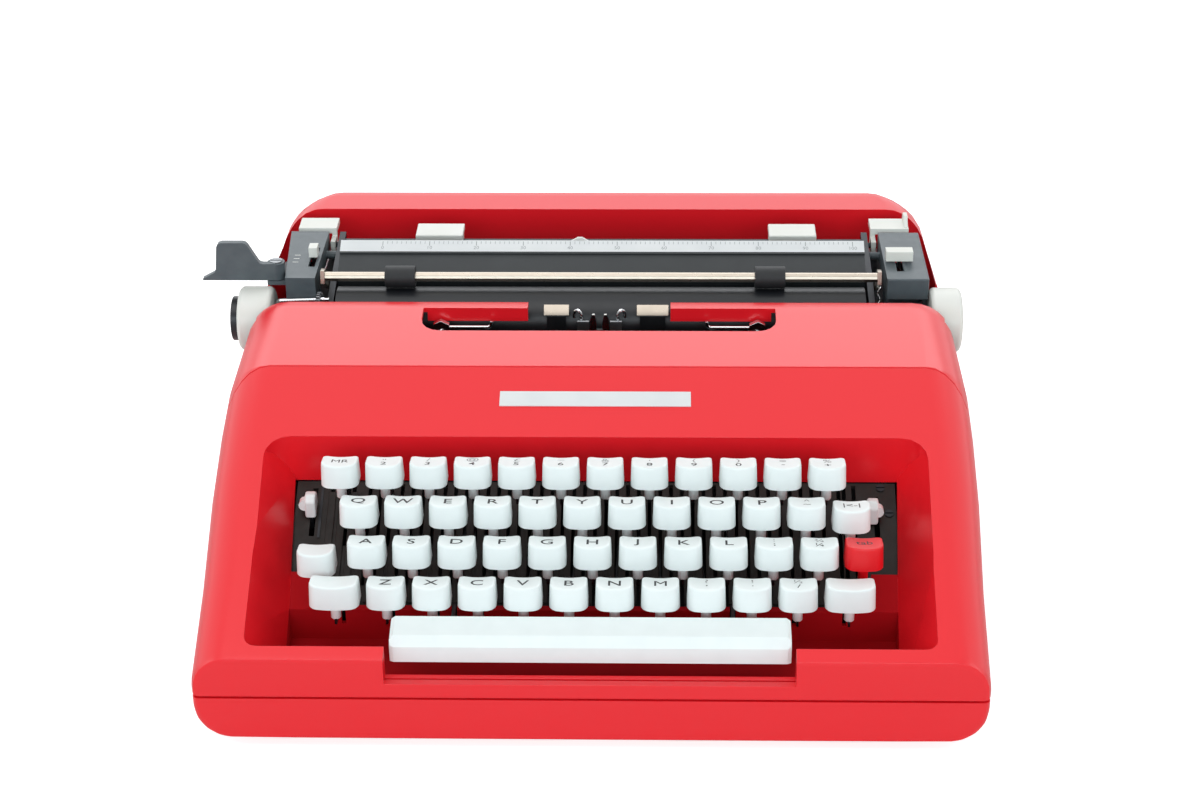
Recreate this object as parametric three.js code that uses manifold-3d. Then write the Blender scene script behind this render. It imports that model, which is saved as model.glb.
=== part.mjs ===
// Portable manual typewriter: red moulded body, four rows of dished keys, sliding carriage.
// Millimetres, +X to the typist's right, +Y away from the typist, +Z up.
// Pieces are drawn with y = 0 on the body's front face and z = 0 on the table;
// the outer group then moves the origin to the middle of the footprint.
import * as THREE from 'three';
import { mergeVertices } from 'three/addons/utils/BufferGeometryUtils.js';
import Module from 'manifold-3d';

const wasm = await Module();
wasm.setup();

// Driving dimensions

const clearance = 0.3;
const overrun = 5;

const keys = {
  pitch: 19.05,
  gap: 2.85,
  wideExtra: 4.7,
  depth: 12,
  rowGap: 5.66,
  rowRise: 9.11,
  rearRowCount: 12,
  offCentre: 4.525,
  frontRowBackEdge: 40.5,
  frontRowHeight: 59.4,
  topTaper: 0.8,
  height: 9.6,
  tilt: 9,
  dish: 1,
  cornerRadius: 4.2,
  backCornerRadius: 2.2,
  bow: 0.7,
  stemRadius: 2.15,
  stemLength: 8.2,
  lockStep: 2.45,
  tabStep: 0.45,
  shiftStep: 2.45,
  lockDrop: 4.5,
  backspaceDrop: 1.6,
};
const rowStaggerShares = [0, 1 / 2, 3 / 4, 5 / 4];
const lastRow = rowStaggerShares.length - 1;
keys.width = keys.pitch - keys.gap;
keys.wideWidth = keys.width + keys.wideExtra;
keys.rowDepth = keys.depth + keys.rowGap;
keys.firstX = -((keys.rearRowCount - 1) / 2) * keys.pitch - keys.offCentre;
keys.rearRowBackEdge = keys.frontRowBackEdge + lastRow * keys.rowDepth;
keys.halfSpan = -keys.firstX + (1 - rowStaggerShares[2]) * keys.pitch + keys.lockStep + keys.width / 2;

const well = {
  front: 7,
  sideRoom: 8.9,
  frontTaper: 6,
  frontLean: 8.1,
  rearLean: 12.1,
  rearRoom: 20.12,
  floorDrop: 22.73,
  tubRoom: 13,
  tubFloor: 18,
  plate: 2,
  frontCorner: 5,
  rearCorner: 11,
  windowInset: 14,
  sideWindowStep: 16.5,
  leverNotchHeight: 26,
  barNotchHeight: 23,
};
well.floorHalfWidth = keys.halfSpan + well.sideRoom;
well.floorFrontHalfWidth = well.floorHalfWidth - well.frontTaper;
well.frontHalfWidth = well.floorHalfWidth + well.frontLean;
well.rearHalfWidth = well.floorHalfWidth + well.rearLean;
well.rear = keys.rearRowBackEdge + well.rearRoom;
well.rearFloorHeight = keys.frontRowHeight + lastRow * keys.rowRise - well.floorDrop;
well.tubRear = keys.frontRowBackEdge + well.tubRoom;
well.windowHalfWidth = well.floorHalfWidth - well.windowInset;
well.sideWindowFront = well.tubRear + well.sideWindowStep;

const body = {
  rim: 21.9,
  sideBow: 5,
  bowAt: 128,
  rearNarrowing: 0.3,
  footHeight: 4,
  trayHeight: 21.4,
  rimHeight: 44.3,
  deckDepth: 39.9,
  deckRise: 54.7,
  coverDepth: 54.5,
  coverRise: 6.8,
  rearRise: 2.8,
  rearDeck: 29,
  wall: 2.5,
  frontShoulder: 15,
  rearShoulder: 20,
  bottomCorner: 15,
  bottomEdge: 1.6,
  frontEdge: 3,
  rearEdge: 9,
  rearPlanCorner: 26,
};
body.frontWidth = 2 * (well.frontHalfWidth + body.rim);
body.rearWidth = body.frontWidth - 2 * body.rearNarrowing;
body.deckEnd = well.rear + body.deckDepth;
body.deckEndHeight = body.rimHeight + body.deckRise;
body.coverEnd = body.deckEnd + body.coverDepth;
body.coverEndHeight = body.deckEndHeight + body.coverRise;
body.rearHeight = body.coverEndHeight + body.rearRise;

const foot = { radius: 8, inset: 26 };

const platen = {
  coverGap: 17,
  drop: 18.3,
  radius: 15.5,
  sideRoom: 37,
  shaftRadius: 4,
  knobRadius: 15.5,
  knobStep: 31,
  knobLength: 16.1,
  rightKnobLength: 14.8,
  knobBevel: 1.4,
  plugRadius: 10.7,
  plugDepth: 3.3,
  boreDepth: 10,
};
platen.y = body.coverEnd + platen.coverGap;
platen.z = body.coverEndHeight - platen.drop;
platen.halfLength = body.frontWidth / 2 - platen.sideRoom;
platen.knobInner = platen.halfLength + platen.knobStep;
platen.knobOuter = platen.knobInner + platen.knobLength;
platen.rightKnobOuter = platen.knobInner + platen.rightKnobLength;

const carriage = {
  plateGap: 2,
  plateThickness: 3,
  frontReach: 13,
  rearReach: 58,
  bedDrop: 21.5,
  railGap: 4,
  lowerReach: 20,
  upperRise: 10.5,
  plateDip: 1.4,
  bedThickness: 3,
  bedReach: 14,
  shoeInner: 9,
  shoeOuter: 33,
  shoeLip: 2.3,
  shoeDrop: 4.5,
  stopRailInset: 7,
  stopRailRise: 16.9,
  stopRailHeight: 3,
  stopRailWidth: 4,
  bailPinLength: 2.6,
  pinBite: 1,
  shaftHood: 8,
};
carriage.plateInner = platen.halfLength + carriage.plateGap;
carriage.plateOuter = carriage.plateInner + carriage.plateThickness;
carriage.front = platen.y - carriage.frontReach;
carriage.rear = platen.y + carriage.rearReach;
carriage.bottom = platen.z - carriage.bedDrop;
carriage.railTop = carriage.bottom - carriage.railGap;
carriage.lowerRear = platen.y + carriage.lowerReach;
carriage.upperBottom = platen.z + carriage.upperRise;
carriage.bedRear = platen.y + carriage.bedReach;
carriage.shoeBottom = carriage.railTop - carriage.shoeDrop;
carriage.stopRailY = carriage.rear - carriage.stopRailInset;
carriage.stopRailZ = platen.z + carriage.stopRailRise;

const endCover = {
  gap: 5.5,
  width: 20,
  frontReach: 2,
  rearInset: 1,
  rise: 20.5,
  rearSkirt: 10.4,
  lowerSkirt: 32,
  lowerStep: 5.5,
  lowerDepth: 13,
  frontDrop: 11,
  wall: 2,
  pegRadius: 2,
  pegInset: 13,
  pegRise: 13.1,
  slotWidth: 3.2,
  leftFrontWidth: 14.3,
  leftRearWidth: 18.8,
};
endCover.inner = carriage.plateOuter + endCover.gap;
endCover.outer = endCover.inner + endCover.width;
endCover.front = platen.y + endCover.frontReach;
endCover.rear = carriage.rear - endCover.rearInset;
endCover.top = platen.z + endCover.rise;
endCover.bottom = endCover.top - endCover.rearSkirt;
endCover.lowerBottom = endCover.top - endCover.lowerSkirt;
endCover.lowerFront = endCover.front + endCover.lowerStep;
endCover.lowerRear = endCover.lowerFront + endCover.lowerDepth;
endCover.pegY = carriage.rear - endCover.pegInset;
endCover.pegZ = platen.z + endCover.pegRise;
endCover.frontOuterLeft = endCover.inner + endCover.leftFrontWidth;
endCover.rearOuterLeft = endCover.inner + endCover.leftRearWidth;

const bay = {
  sideGap: 5.5,
  rearReach: 84,
  frontReach: 11,
  corner: 16,
  notchReach: 24.5,
  notchRearReach: 22,
  depthBelowRail: 12,
};
bay.halfWidth = endCover.outer + bay.sideGap;
bay.rear = platen.y + bay.rearReach;
bay.front = platen.y - bay.frontReach;
bay.flangeBottom = carriage.bottom;
bay.notchFront = platen.y - bay.notchReach;
bay.notchRear = platen.y + bay.notchRearReach;
bay.notchHeight = carriage.railTop;
bay.bottom = carriage.railTop - bay.depthBelowRail;
body.depth = bay.rear + body.rearDeck;

const cover = {
  seamRun: 17.5,
  seamDrop: 24,
  sideDrop: 1,
  gap: 0.5,
  slotHalfWidth: 82.5,
  slotReach: 26,
  slotCorner: 9,
  flapReach: 7,
  flapInner: 33.5,
  flapDrop: 5.5,
  flapLip: 1.8,
};
cover.seamFront = body.deckEnd - cover.seamRun;
cover.seamHeight = body.deckEndHeight - cover.seamDrop;
cover.sideRear = bay.notchFront + cover.gap;
cover.rearSideTop = body.deckEndHeight - cover.sideDrop;
cover.slotFront = body.coverEnd - cover.slotReach;
cover.flapFront = body.coverEnd - cover.flapReach;

const lever = {
  thickness: 1,
  height: 4,
  frontReach: 15,
  frontDrop: 1.5,
  dipRoom: 4.4,
  dipStep: 3,
  lineZ: 18.5,
  tail: 4,
  slotClearance: 0.4,
  eyeReach: 5,
};
const laneShare = 1 / 4;
lever.dipFront = well.rear + lever.dipRoom;
lever.sideShift = (keys.pitch * laneShare) / 2;

const fulcrum = { reach: 15, radius: 2.5 };
fulcrum.y = platen.y + fulcrum.reach;
fulcrum.z = lever.lineZ;
const comb = { reach: 9, barWidth: 4, barHeight: 4 };
comb.barY = fulcrum.y + comb.reach;
const shiftBail = { rise: 7, barWidth: 3.4 };
shiftBail.barY = comb.barY;
shiftBail.barZ = fulcrum.z + shiftBail.rise;

const mask = { thickness: 1.5, sideGap: 1, frontSideGap: 0.5, sideStep: 4, slotEnd: 1.4 };
mask.halfWidth = well.floorHalfWidth - mask.sideGap;
mask.frontHalfWidth = well.windowHalfWidth - mask.frontSideGap;
mask.sideFront = well.sideWindowFront - mask.sideStep;
mask.slotRear = well.rear - mask.slotEnd;

const spaceBar = {
  halfWidth: 82.5,
  taper: 1.6,
  rear: 25.2,
  rearTop: 48.6,
  rearBottom: 45.6,
  skirtRear: 13.5,
  skirtTop: 42.5,
  skirtFoot: 13,
  bottom: 35.4,
  front: 11,
  frontTop: 43.6,
  edge: 12,
  edgeTop: 45.6,
  crest: 14,
  crestTop: 46.4,
  armThickness: 1.6,
  armWidth: 4,
  armZ: 34.2,
  armRun: 10,
  armRise: 1,
  endShrink: 0.8,
  armY: 19,
};
const spaceBarLaneShares = [21 / 8, 71 / 8];
const spaceBarNotch = { sideGap: 1.5, rise: 14 };
spaceBarNotch.halfWidth = spaceBar.halfWidth + spaceBarNotch.sideGap;
spaceBarNotch.height = well.tubFloor + spaceBarNotch.rise;

const table = {
  lowReach: 15,
  lowRise: 14.5,
  highReach: 36.5,
  highRise: 24.5,
  thickness: 1.6,
  scaleDepth: 8.5,
  scaleRise: 0.7,
  troughStart: 0.6,
  troughGap: 2.6,
  troughRise: 6,
  troughFootGap: 1.6,
};
table.lowY = platen.y + table.lowReach;
table.lowZ = platen.z + table.lowRise;
table.highY = platen.y + table.highReach;
table.highZ = platen.z + table.highRise;

const marginStop = {
  width: 23.4,
  left: -80.9,
  right: 94.1,
  overhang: 10.4,
  rise: 23.1,
  thickness: 3,
  grip: 2,
  chamferRun: 3.6,
  chamferDrop: 3,
};
marginStop.rear = carriage.stopRailY + marginStop.overhang;
marginStop.top = platen.z + marginStop.rise;

const bail = {
  reach: 3,
  barRadius: 2.3,
  rollerRadius: 5.3,
  rollerLength: 14.4,
  leftRoller: -95.8,
  rightRoller: 81,
  armGap: 0.6,
  armThickness: 2,
  armHeight: 6.6,
  armFlat: 1,
  armLift: 0.5,
  tailReach: 3.8,
  tailDrop: 2,
  pivotReach: 18,
  pivotRise: 11.1,
  pivotRadius: 2,
};
bail.y = platen.y + bail.reach;
bail.armInner = carriage.plateOuter + bail.armGap;
bail.pivotY = platen.y + bail.pivotReach;
bail.pivotZ = platen.z + bail.pivotRise;

const returnLever = {
  outset: 19.6,
  reach: 11,
  hubRadius: 4.2,
  pinRadius: 1.7,
  drop: 3.7,
  hubHeight: 8.3,
  neckHeight: 8.7,
  neckReach: 7.4,
  paddleHeight: 19.7,
  paddleInnerReach: 13.4,
  paddleOuterReach: 27.4,
  paddleFootReach: 28.9,
  tipReach: 35.4,
  corner: 2.5,
  thickness: 3.2,
  tipThickness: 0.8,
  lugThickness: 2,
  bladeOffset: 2.4,
};
returnLever.pivotX = -(endCover.inner + returnLever.outset);
returnLever.pivotY = platen.y + returnLever.reach;
returnLever.bottom = endCover.top - returnLever.drop;
returnLever.armTop = returnLever.bottom + returnLever.hubHeight;
returnLever.neckTop = returnLever.bottom + returnLever.neckHeight;
returnLever.paddleTop = returnLever.bottom + returnLever.paddleHeight;
returnLever.tip = returnLever.pivotX - returnLever.tipReach;
returnLever.bladeY = returnLever.pivotY - returnLever.bladeOffset;

const releaseTab = {
  gap: 2,
  width: 19,
  rearGap: 1.2,
  depth: 12.8,
  lift: 0.8,
  thickness: 3,
  armWidth: 3,
  armThickness: 2.4,
  pinInset: 3,
  pinRise: 14.2,
  pinRadius: 1.4,
};
releaseTab.inner = carriage.plateOuter + releaseTab.gap;
releaseTab.outer = releaseTab.inner + releaseTab.width;
releaseTab.front = carriage.rear + releaseTab.rearGap;
releaseTab.rear = releaseTab.front + releaseTab.depth;
releaseTab.top = endCover.top + releaseTab.lift;
releaseTab.pinY = carriage.rear - releaseTab.pinInset;
releaseTab.pinZ = platen.z + releaseTab.pinRise;

const smallLever = { rise: 13.5, radius: 2, thickness: 2, knobRise: 6.2, knobDepth: 6, slotHalf: 11 };
smallLever.pivotZ = platen.z + smallLever.rise;
smallLever.knobTop = endCover.top + smallLever.knobRise;
const smallKnob = { leftWidth: 4.2, rightWidth: 13, height: 5 };
const leftSmallLever = { outset: 3.4, reach: 26 };
const rightSmallLever = { outset: 7.2, reach: 22.5 };
leftSmallLever.x = -(endCover.inner + leftSmallLever.outset);
rightSmallLever.x = endCover.inner + rightSmallLever.outset;
leftSmallLever.y = platen.y + leftSmallLever.reach;
rightSmallLever.y = platen.y + rightSmallLever.reach;

const basket = {
  reach: 23,
  radius: 50,
  rimInset: 6.5,
  rimOutset: 5.5,
  halfDepth: 4,
  typebarCount: 43,
  spread: 152,
  endSpread: 6,
  barThickness: 1.2,
  barHeight: 3,
  headHeight: 7.2,
  headLength: 5,
  barLength: 50,
  slotWidth: 2,
  slotWeb: 1,
  guideHalfWidth: 10.5,
  guideGap: 5,
  guideThickness: 1.4,
  guideRise: 8.5,
  guideStep: 2.6,
  guideSeat: 2,
};
basket.y = platen.y - basket.reach;
basket.bodyInner = basket.radius - basket.rimInset;
basket.bodyOuter = basket.radius + basket.rimOutset;
basket.guideTop = platen.z + basket.guideRise;
basket.guideFront = basket.y + basket.guideStep;

const chassis = {
  plateGap: 13.5,
  plateThickness: 2,
  frontGap: 4.4,
  rearReach: 77,
  frontDrop: 4,
  basketDrop: 15,
  rearRise: 2.5,
  railBite: 2,
  railReach: 8,
  railHeight: 8,
  barDepth: 4,
  footDepth: 32,
  footThickness: 2,
  guideHalfWidth: 62,
  guideThickness: 2.4,
  guideOverlap: 2,
  guideRise: 8,
  shelfDrop: 8,
  shelfInner: 74,
  shelfStep: 30,
  shelfGap: 0.5,
  shelfThickness: 2,
};
chassis.plateX = platen.halfLength + chassis.plateGap;
chassis.front = well.rear + chassis.frontGap;
chassis.rear = platen.y + chassis.rearReach;
chassis.bottom = body.footHeight + body.wall + clearance;
chassis.frontHeight = well.rearFloorHeight - chassis.frontDrop;
chassis.basketHeight = body.deckEndHeight - chassis.basketDrop;
chassis.rearHeight = platen.z + chassis.rearRise;
chassis.seatHeight = carriage.railTop - chassis.railBite;
chassis.railFront = platen.y - chassis.railReach;
chassis.railRear = platen.y + chassis.railReach;
chassis.shelfHeight = chassis.basketHeight - chassis.shelfDrop;
chassis.shelfFront = chassis.front + chassis.shelfStep;
chassis.shelfRear = bay.notchFront - chassis.shelfGap;

const spool = { inset: 25, step: 24, radius: 22, hub: 8, height: 11, flange: 1, spindle: 3 };
spool.x = chassis.plateX - spool.inset;
spool.y = chassis.shelfFront + spool.step;

const touchLever = {
  inset: 9.3,
  width: 5,
  rearRoom: 14.6,
  length: 8,
  height: 8.5,
  tail: 1.6,
  tailLength: 8,
  slotLength: 22,
};
touchLever.x = -(well.floorHalfWidth - touchLever.inset);
touchLever.y = well.rear - touchLever.rearRoom;
const colourLever = {
  inset: 9.9,
  width: 6.5,
  rearRoom: 16.6,
  length: 8,
  height: 9.5,
  tail: 1.6,
  tailLength: 8,
  slotLength: 20,
};
colourLever.x = well.floorHalfWidth - colourLever.inset;
colourLever.y = well.rear - colourLever.rearRoom;
const leverKnobShares = { rear: 0.62, front: 0.7 };

const segments = {
  corner: 4,
  planCorner: 6,
  shoulder: 7,
  keyCorner: 2,
  bowl: 6,
  round: 28,
  roller: 18,
  hub: 16,
  rod: 12,
  pin: 10,
  stem: 8,
  basket: 20,
  spool: 24,
  shaft: 14,
  foot: 16,
};
const stationShares = { front: [0, 0.3, 1], deck: [0.3, 0.6], tray: [0, 0.12, 0.4, 1] };
const cornerShare = 0.9;
const bowlShare = 1.05;

// Colours of the real finishes

const red = { color: 0xe8202c, roughness: 0.32, metalness: 0 };
const keyWhite = { color: 0xf3f4ee, roughness: 0.38, metalness: 0 };
const tabRed = { color: 0xe02835, roughness: 0.35, metalness: 0 };
const darkGrey = { color: 0x3a4046, roughness: 0.5, metalness: 0 };
const black = { color: 0x16181a, roughness: 0.55, metalness: 0 };
const steel = { color: 0x9a9c9e, roughness: 0.35, metalness: 0.9 };
const bright = { color: 0xcfd0d0, roughness: 0.2, metalness: 1 };
const blackenedSteel = { color: 0x2a2c2e, roughness: 0.5, metalness: 0.6 };

// Shape helpers

const radians = THREE.MathUtils.degToRad;

function toSolid(geometry) {
  const plain = geometry.index ? geometry.toNonIndexed() : geometry.clone();
  plain.deleteAttribute('normal');
  plain.deleteAttribute('uv');
  const merged = mergeVertices(plain);
  const positions = Float32Array.from(merged.attributes.position.array);
  const triangles = Uint32Array.from(merged.index.array);
  if (signedVolume(positions, triangles) < 0) {
    for (let i = 0; i < triangles.length; i += 3) {
      [triangles[i + 1], triangles[i + 2]] = [triangles[i + 2], triangles[i + 1]];
    }
  }
  return new wasm.Manifold(new wasm.Mesh({ numProp: 3, vertProperties: positions, triVerts: triangles }));
}

function signedVolume(positions, triangles) {
  const corner = [new THREE.Vector3(), new THREE.Vector3(), new THREE.Vector3()];
  let volume = 0;
  for (let i = 0; i < triangles.length; i += 3) {
    corner.forEach((point, k) => point.fromArray(positions, triangles[i + k] * 3));
    volume += corner[0].dot(corner[1].clone().cross(corner[2])) / 6;
  }
  return volume;
}

function toGeometry(solid) {
  const mesh = solid.getMesh();
  const geometry = new THREE.BufferGeometry();
  geometry.setAttribute('position', new THREE.BufferAttribute(Float32Array.from(mesh.vertProperties), 3));
  geometry.setIndex(Array.from(mesh.triVerts));
  geometry.computeVertexNormals();
  return geometry;
}

function union(solids) {
  return solids.reduce((total, next) => total.add(next));
}

function extrude(outline, depth) {
  const shape = new THREE.Shape(outline.map(([u, v]) => new THREE.Vector2(u, v)));
  return new THREE.ExtrudeGeometry(shape, { depth, bevelEnabled: false, curveSegments: 1 });
}

// An outline in (y, z), swept along x.
function prismX(outline, x0, x1) {
  const swap = new THREE.Matrix4().set(0, 0, 1, x0, 1, 0, 0, 0, 0, 1, 0, 0, 0, 0, 0, 1);
  return toSolid(extrude(outline, x1 - x0).applyMatrix4(swap));
}

// An outline in (x, z), swept along y.
function prismY(outline, y0, y1) {
  const swap = new THREE.Matrix4().set(1, 0, 0, 0, 0, 0, -1, y1, 0, 1, 0, 0, 0, 0, 0, 1);
  return toSolid(extrude(outline, y1 - y0).applyMatrix4(swap));
}

// An outline in (x, y), swept along z.
function prismZ(outline, z0, z1) {
  return toSolid(extrude(outline, z1 - z0).translate(0, 0, z0));
}

function box(x0, x1, y0, y1, z0, z1) {
  const geometry = new THREE.BoxGeometry(x1 - x0, y1 - y0, z1 - z0);
  return toSolid(geometry.translate((x0 + x1) / 2, (y0 + y1) / 2, (z0 + z1) / 2));
}

function circle(u, v, radius, sides) {
  return Array.from({ length: sides }, (_, i) => {
    const angle = (2 * Math.PI * i) / sides;
    return [u + radius * Math.cos(angle), v + radius * Math.sin(angle)];
  });
}

function rodX(y, z, radius, x0, x1, sides = segments.rod) {
  return prismX(circle(y, z, radius, sides), x0, x1);
}

function rodZ(x, y, radius, z0, z1, sides = segments.rod) {
  return prismZ(circle(x, y, radius, sides), z0, z1);
}

// A lathe profile of [radius, x] pairs, turned about a line along x.
function turnedX(profile, y, z, sides) {
  const points = profile.map(([radius, x]) => new THREE.Vector2(radius, x));
  const geometry = new THREE.LatheGeometry(points, sides);
  geometry.rotateZ(-Math.PI / 2);
  return toSolid(geometry.translate(0, y, z));
}

// Rings of equal length joined into one closed skin; the end rings are flat enough to fan.
function loft(rings) {
  const count = rings[0].length;
  const positions = rings.flat(2);
  const index = [];
  for (let r = 0; r + 1 < rings.length; r += 1) {
    for (let i = 0; i < count; i += 1) {
      const j = (i + 1) % count;
      const [a, b, c, d] = [r * count + i, r * count + j, (r + 1) * count + j, (r + 1) * count + i];
      index.push(a, b, c, a, c, d);
    }
  }
  const last = (rings.length - 1) * count;
  for (let i = 1; i + 1 < count; i += 1) {
    index.push(0, i + 1, i);
    index.push(last, last + i, last + i + 1);
  }
  const geometry = new THREE.BufferGeometry();
  geometry.setAttribute('position', new THREE.BufferAttribute(Float32Array.from(positions), 3));
  geometry.setIndex(index);
  return toSolid(geometry);
}

// A polygon whose corners are rounded; each corner is [u, v, radius].
function rounded(corners, steps) {
  const outline = [];
  corners.forEach(([u, v, radius], i) => {
    const here = new THREE.Vector2(u, v);
    const before = new THREE.Vector2(...corners[(i + corners.length - 1) % corners.length]).sub(here).normalize();
    const after = new THREE.Vector2(...corners[(i + 1) % corners.length]).sub(here).normalize();
    if (!radius) {
      outline.push([u, v]);
      return;
    }
    const half = Math.acos(THREE.MathUtils.clamp(before.dot(after), -1, 1)) / 2;
    const reach = radius / Math.tan(half);
    const start = here.clone().addScaledVector(before, reach);
    const end = here.clone().addScaledVector(after, reach);
    const centre = here.clone().addScaledVector(before.clone().add(after).normalize(), radius / Math.sin(half));
    const from = start.clone().sub(centre).angle();
    let sweep = end.clone().sub(centre).angle() - from;
    sweep = Math.atan2(Math.sin(sweep), Math.cos(sweep));
    for (let k = 0; k <= steps; k += 1) {
      const angle = from + (sweep * k) / steps;
      outline.push([centre.x + radius * Math.cos(angle), centre.y + radius * Math.sin(angle)]);
    }
  });
  return outline;
}

// A band of constant height that follows a path, as a closed outline.
function band(path, height) {
  const upper = [];
  const lower = [];
  path.forEach((point, i) => {
    const here = new THREE.Vector2(...point);
    const before = new THREE.Vector2(...(path[i - 1] ?? point));
    const after = new THREE.Vector2(...(path[i + 1] ?? point));
    const arriving = here.clone().sub(before).normalize();
    const leaving = after.clone().sub(here).normalize();
    const along = arriving.add(leaving).normalize();
    const side = new THREE.Vector2(-along.y, along.x);
    const leg = i === 0 ? after.clone().sub(here) : here.clone().sub(before);
    const legSide = new THREE.Vector2(-leg.y, leg.x).normalize();
    const reach = height / 2 / side.dot(legSide);
    upper.push([here.x + side.x * reach, here.y + side.y * reach]);
    lower.unshift([here.x - side.x * reach, here.y - side.y * reach]);
  });
  return [...upper, ...lower];
}

// Body surfaces

const seamHeight = body.footHeight + body.trayHeight;

function halfWidthAt(y) {
  const end = y < body.bowAt ? body.frontWidth / 2 : body.rearWidth / 2;
  const span = y < body.bowAt ? body.bowAt : body.depth - body.bowAt;
  const share = (y - body.bowAt) / span;
  const bulge = body.frontWidth / 2 + body.sideBow - end;
  return end + bulge * Math.cos((share * Math.PI) / 2) ** 2;
}

function deckHeightAt(y) {
  const spots = [
    [0, body.rimHeight],
    [body.frontEdge, body.rimHeight],
    [body.deckEnd, body.deckEndHeight],
    [body.coverEnd, body.coverEndHeight],
    [bay.rear, body.rearHeight],
    [body.depth, body.rearHeight],
  ];
  const next = spots.findIndex(([spot], i) => i > 0 && spot >= y);
  const [y0, z0] = spots[next - 1];
  const [y1, z1] = spots[next];
  return z0 + ((z1 - z0) * (y - y0)) / (y1 - y0);
}

function roundDown(distance, radius) {
  const share = THREE.MathUtils.clamp(1 - distance / radius, 0, 1);
  return radius * (1 - Math.sqrt(1 - share * share));
}

// Places along the body where its cross-section is drawn.
function bodyStations() {
  const front = stationShares.front.map((share) => share * body.frontEdge);
  const rearStart = body.depth - body.rearPlanCorner;
  const rear = Array.from({ length: segments.planCorner + 1 }, (_, i) => {
    const angle = (Math.PI / 2) * (i / segments.planCorner);
    return rearStart + body.rearPlanCorner * Math.sin(angle);
  });
  const middle = stationShares.deck.map((share) => share * body.deckEnd);
  return [...front, ...middle, body.bowAt, body.deckEnd, body.coverEnd, bay.notchRear, bay.rear - bay.corner, ...rear];
}

function shoulderAt(y) {
  return THREE.MathUtils.lerp(body.frontShoulder, body.rearShoulder, Math.min(1, y / body.deckEnd));
}

// Half a cross-section is four arcs; inset shrinks the skin evenly for the inner face.
function bodySection(y, inset, part) {
  const edge = Math.max(roundDown(y, body.frontEdge), roundDown(body.depth - y, body.rearEdge));
  const planCut = Math.max(roundDown(y, body.frontEdge), roundDown(body.depth - y, body.rearPlanCorner));
  const half = halfWidthAt(y) - planCut - inset;
  const place = y < body.depth / 2 ? y + inset : y - inset;
  if (part === 'upper') {
    const top = deckHeightAt(y) - edge - inset;
    const radius = shoulderAt(y) - inset;
    const bottom = inset ? seamHeight - overrun : seamHeight;
    return rounded([[-half, bottom, 0], [half, bottom, 0], [half, top, radius], [-half, top, radius]], segments.shoulder)
      .map(([x, z]) => [x, place, z]);
  }
  const bottomEdge = Math.max(roundDown(y, body.bottomEdge), roundDown(body.depth - y, body.bottomEdge));
  const bottom = body.footHeight + bottomEdge + inset;
  const top = inset ? seamHeight + overrun : seamHeight - clearance;
  const radius = Math.min(body.bottomCorner - inset, (top - bottom) * cornerShare);
  return rounded([[-half, bottom, radius], [half, bottom, radius], [half, top, 0], [-half, top, 0]], segments.corner)
    .map(([x, z]) => [x, place, z]);
}

function bodySolid(inset, part) {
  const places = part === 'upper' ? bodyStations() : trayStations();
  const low = inset ? places.filter((y) => y > 0 && y < body.depth) : places;
  return loft(low.map((y) => bodySection(y, inset, part)));
}

function trayStations() {
  const front = stationShares.tray.map((share) => share * body.bottomEdge);
  return [...front, ...bodyStations().filter((y) => y > body.bottomEdge)];
}

const upperOuter = bodySolid(0, 'upper');
const upperInner = bodySolid(body.wall, 'upper');

// Key well

const maskSlope = keys.rowRise / keys.rowDepth;

function maskPlaneAt(y) {
  return well.rearFloorHeight - (well.rear - y) * maskSlope;
}

function kneeHeightAt(y) {
  return Math.max(maskPlaneAt(y), well.tubFloor);
}

// The well's sides lean outward from the mask plane to the edge in the deck.
function wellSpace(grow, drop) {
  const rings = [well.front - grow, well.tubRear, well.rear + grow].map((y) => {
    const share = (y - well.front) / (well.rear - well.front);
    const floor = kneeHeightAt(y);
    const deck = deckHeightAt(Math.max(0, y));
    const edge = THREE.MathUtils.lerp(well.frontHalfWidth, well.rearHalfWidth, share);
    const foot = floorHalfWidthAt(y);
    const lean = (edge - foot) / (deck - floor);
    const top = deck + overrun;
    const low = foot + grow - lean * drop;
    const high = foot + grow + lean * (top - floor);
    return [[-low, y, floor - drop], [low, y, floor - drop], [high, y, top], [-high, y, top]];
  });
  const [front, rear] = [well.front - grow, well.rear + grow];
  const corners = [
    [-well.frontHalfWidth - grow, front, well.frontCorner + grow],
    [well.frontHalfWidth + grow, front, well.frontCorner + grow],
    [well.rearHalfWidth + grow, rear, well.rearCorner + grow],
    [-well.rearHalfWidth - grow, rear, well.rearCorner + grow],
  ];
  const plan = prismZ(rounded(corners, segments.corner), -body.rearHeight, body.rearHeight);
  return loft(rings).intersect(plan);
}

function floorHalfWidthAt(y) {
  const share = (y - well.front) / (well.rear - well.front);
  return THREE.MathUtils.lerp(well.floorFrontHalfWidth, well.floorHalfWidth, share);
}

// The tub in front of the apron, under the front rows; its walls are upright.
function tubSpace(grow) {
  const bottom = well.tubFloor - grow;
  const rings = [well.front - grow, well.tubRear + grow].map((y) => {
    const half = floorHalfWidthAt(y) + grow;
    const top = kneeHeightAt(y) + grow;
    return [[-half, y, bottom], [half, y, bottom], [half, y, top], [-half, y, top]];
  });
  return loft(rings);
}

// Everything under the key rows' plane.
function belowMaskPlane() {
  const half = body.frontWidth / 2;
  return prismX([
    [well.tubRear, 0],
    [well.rear, 0],
    [well.rear, maskPlaneAt(well.rear) + overrun],
    [well.tubRear, maskPlaneAt(well.tubRear) + overrun],
  ], -half, half);
}

function leverPlaces() {
  const places = [];
  rowKeys.forEach((row, rowIndex) => {
    row.names.forEach((name, i) => places.push({ name, rowIndex, x: keyX(rowIndex, i) }));
  });
  return places;
}

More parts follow.
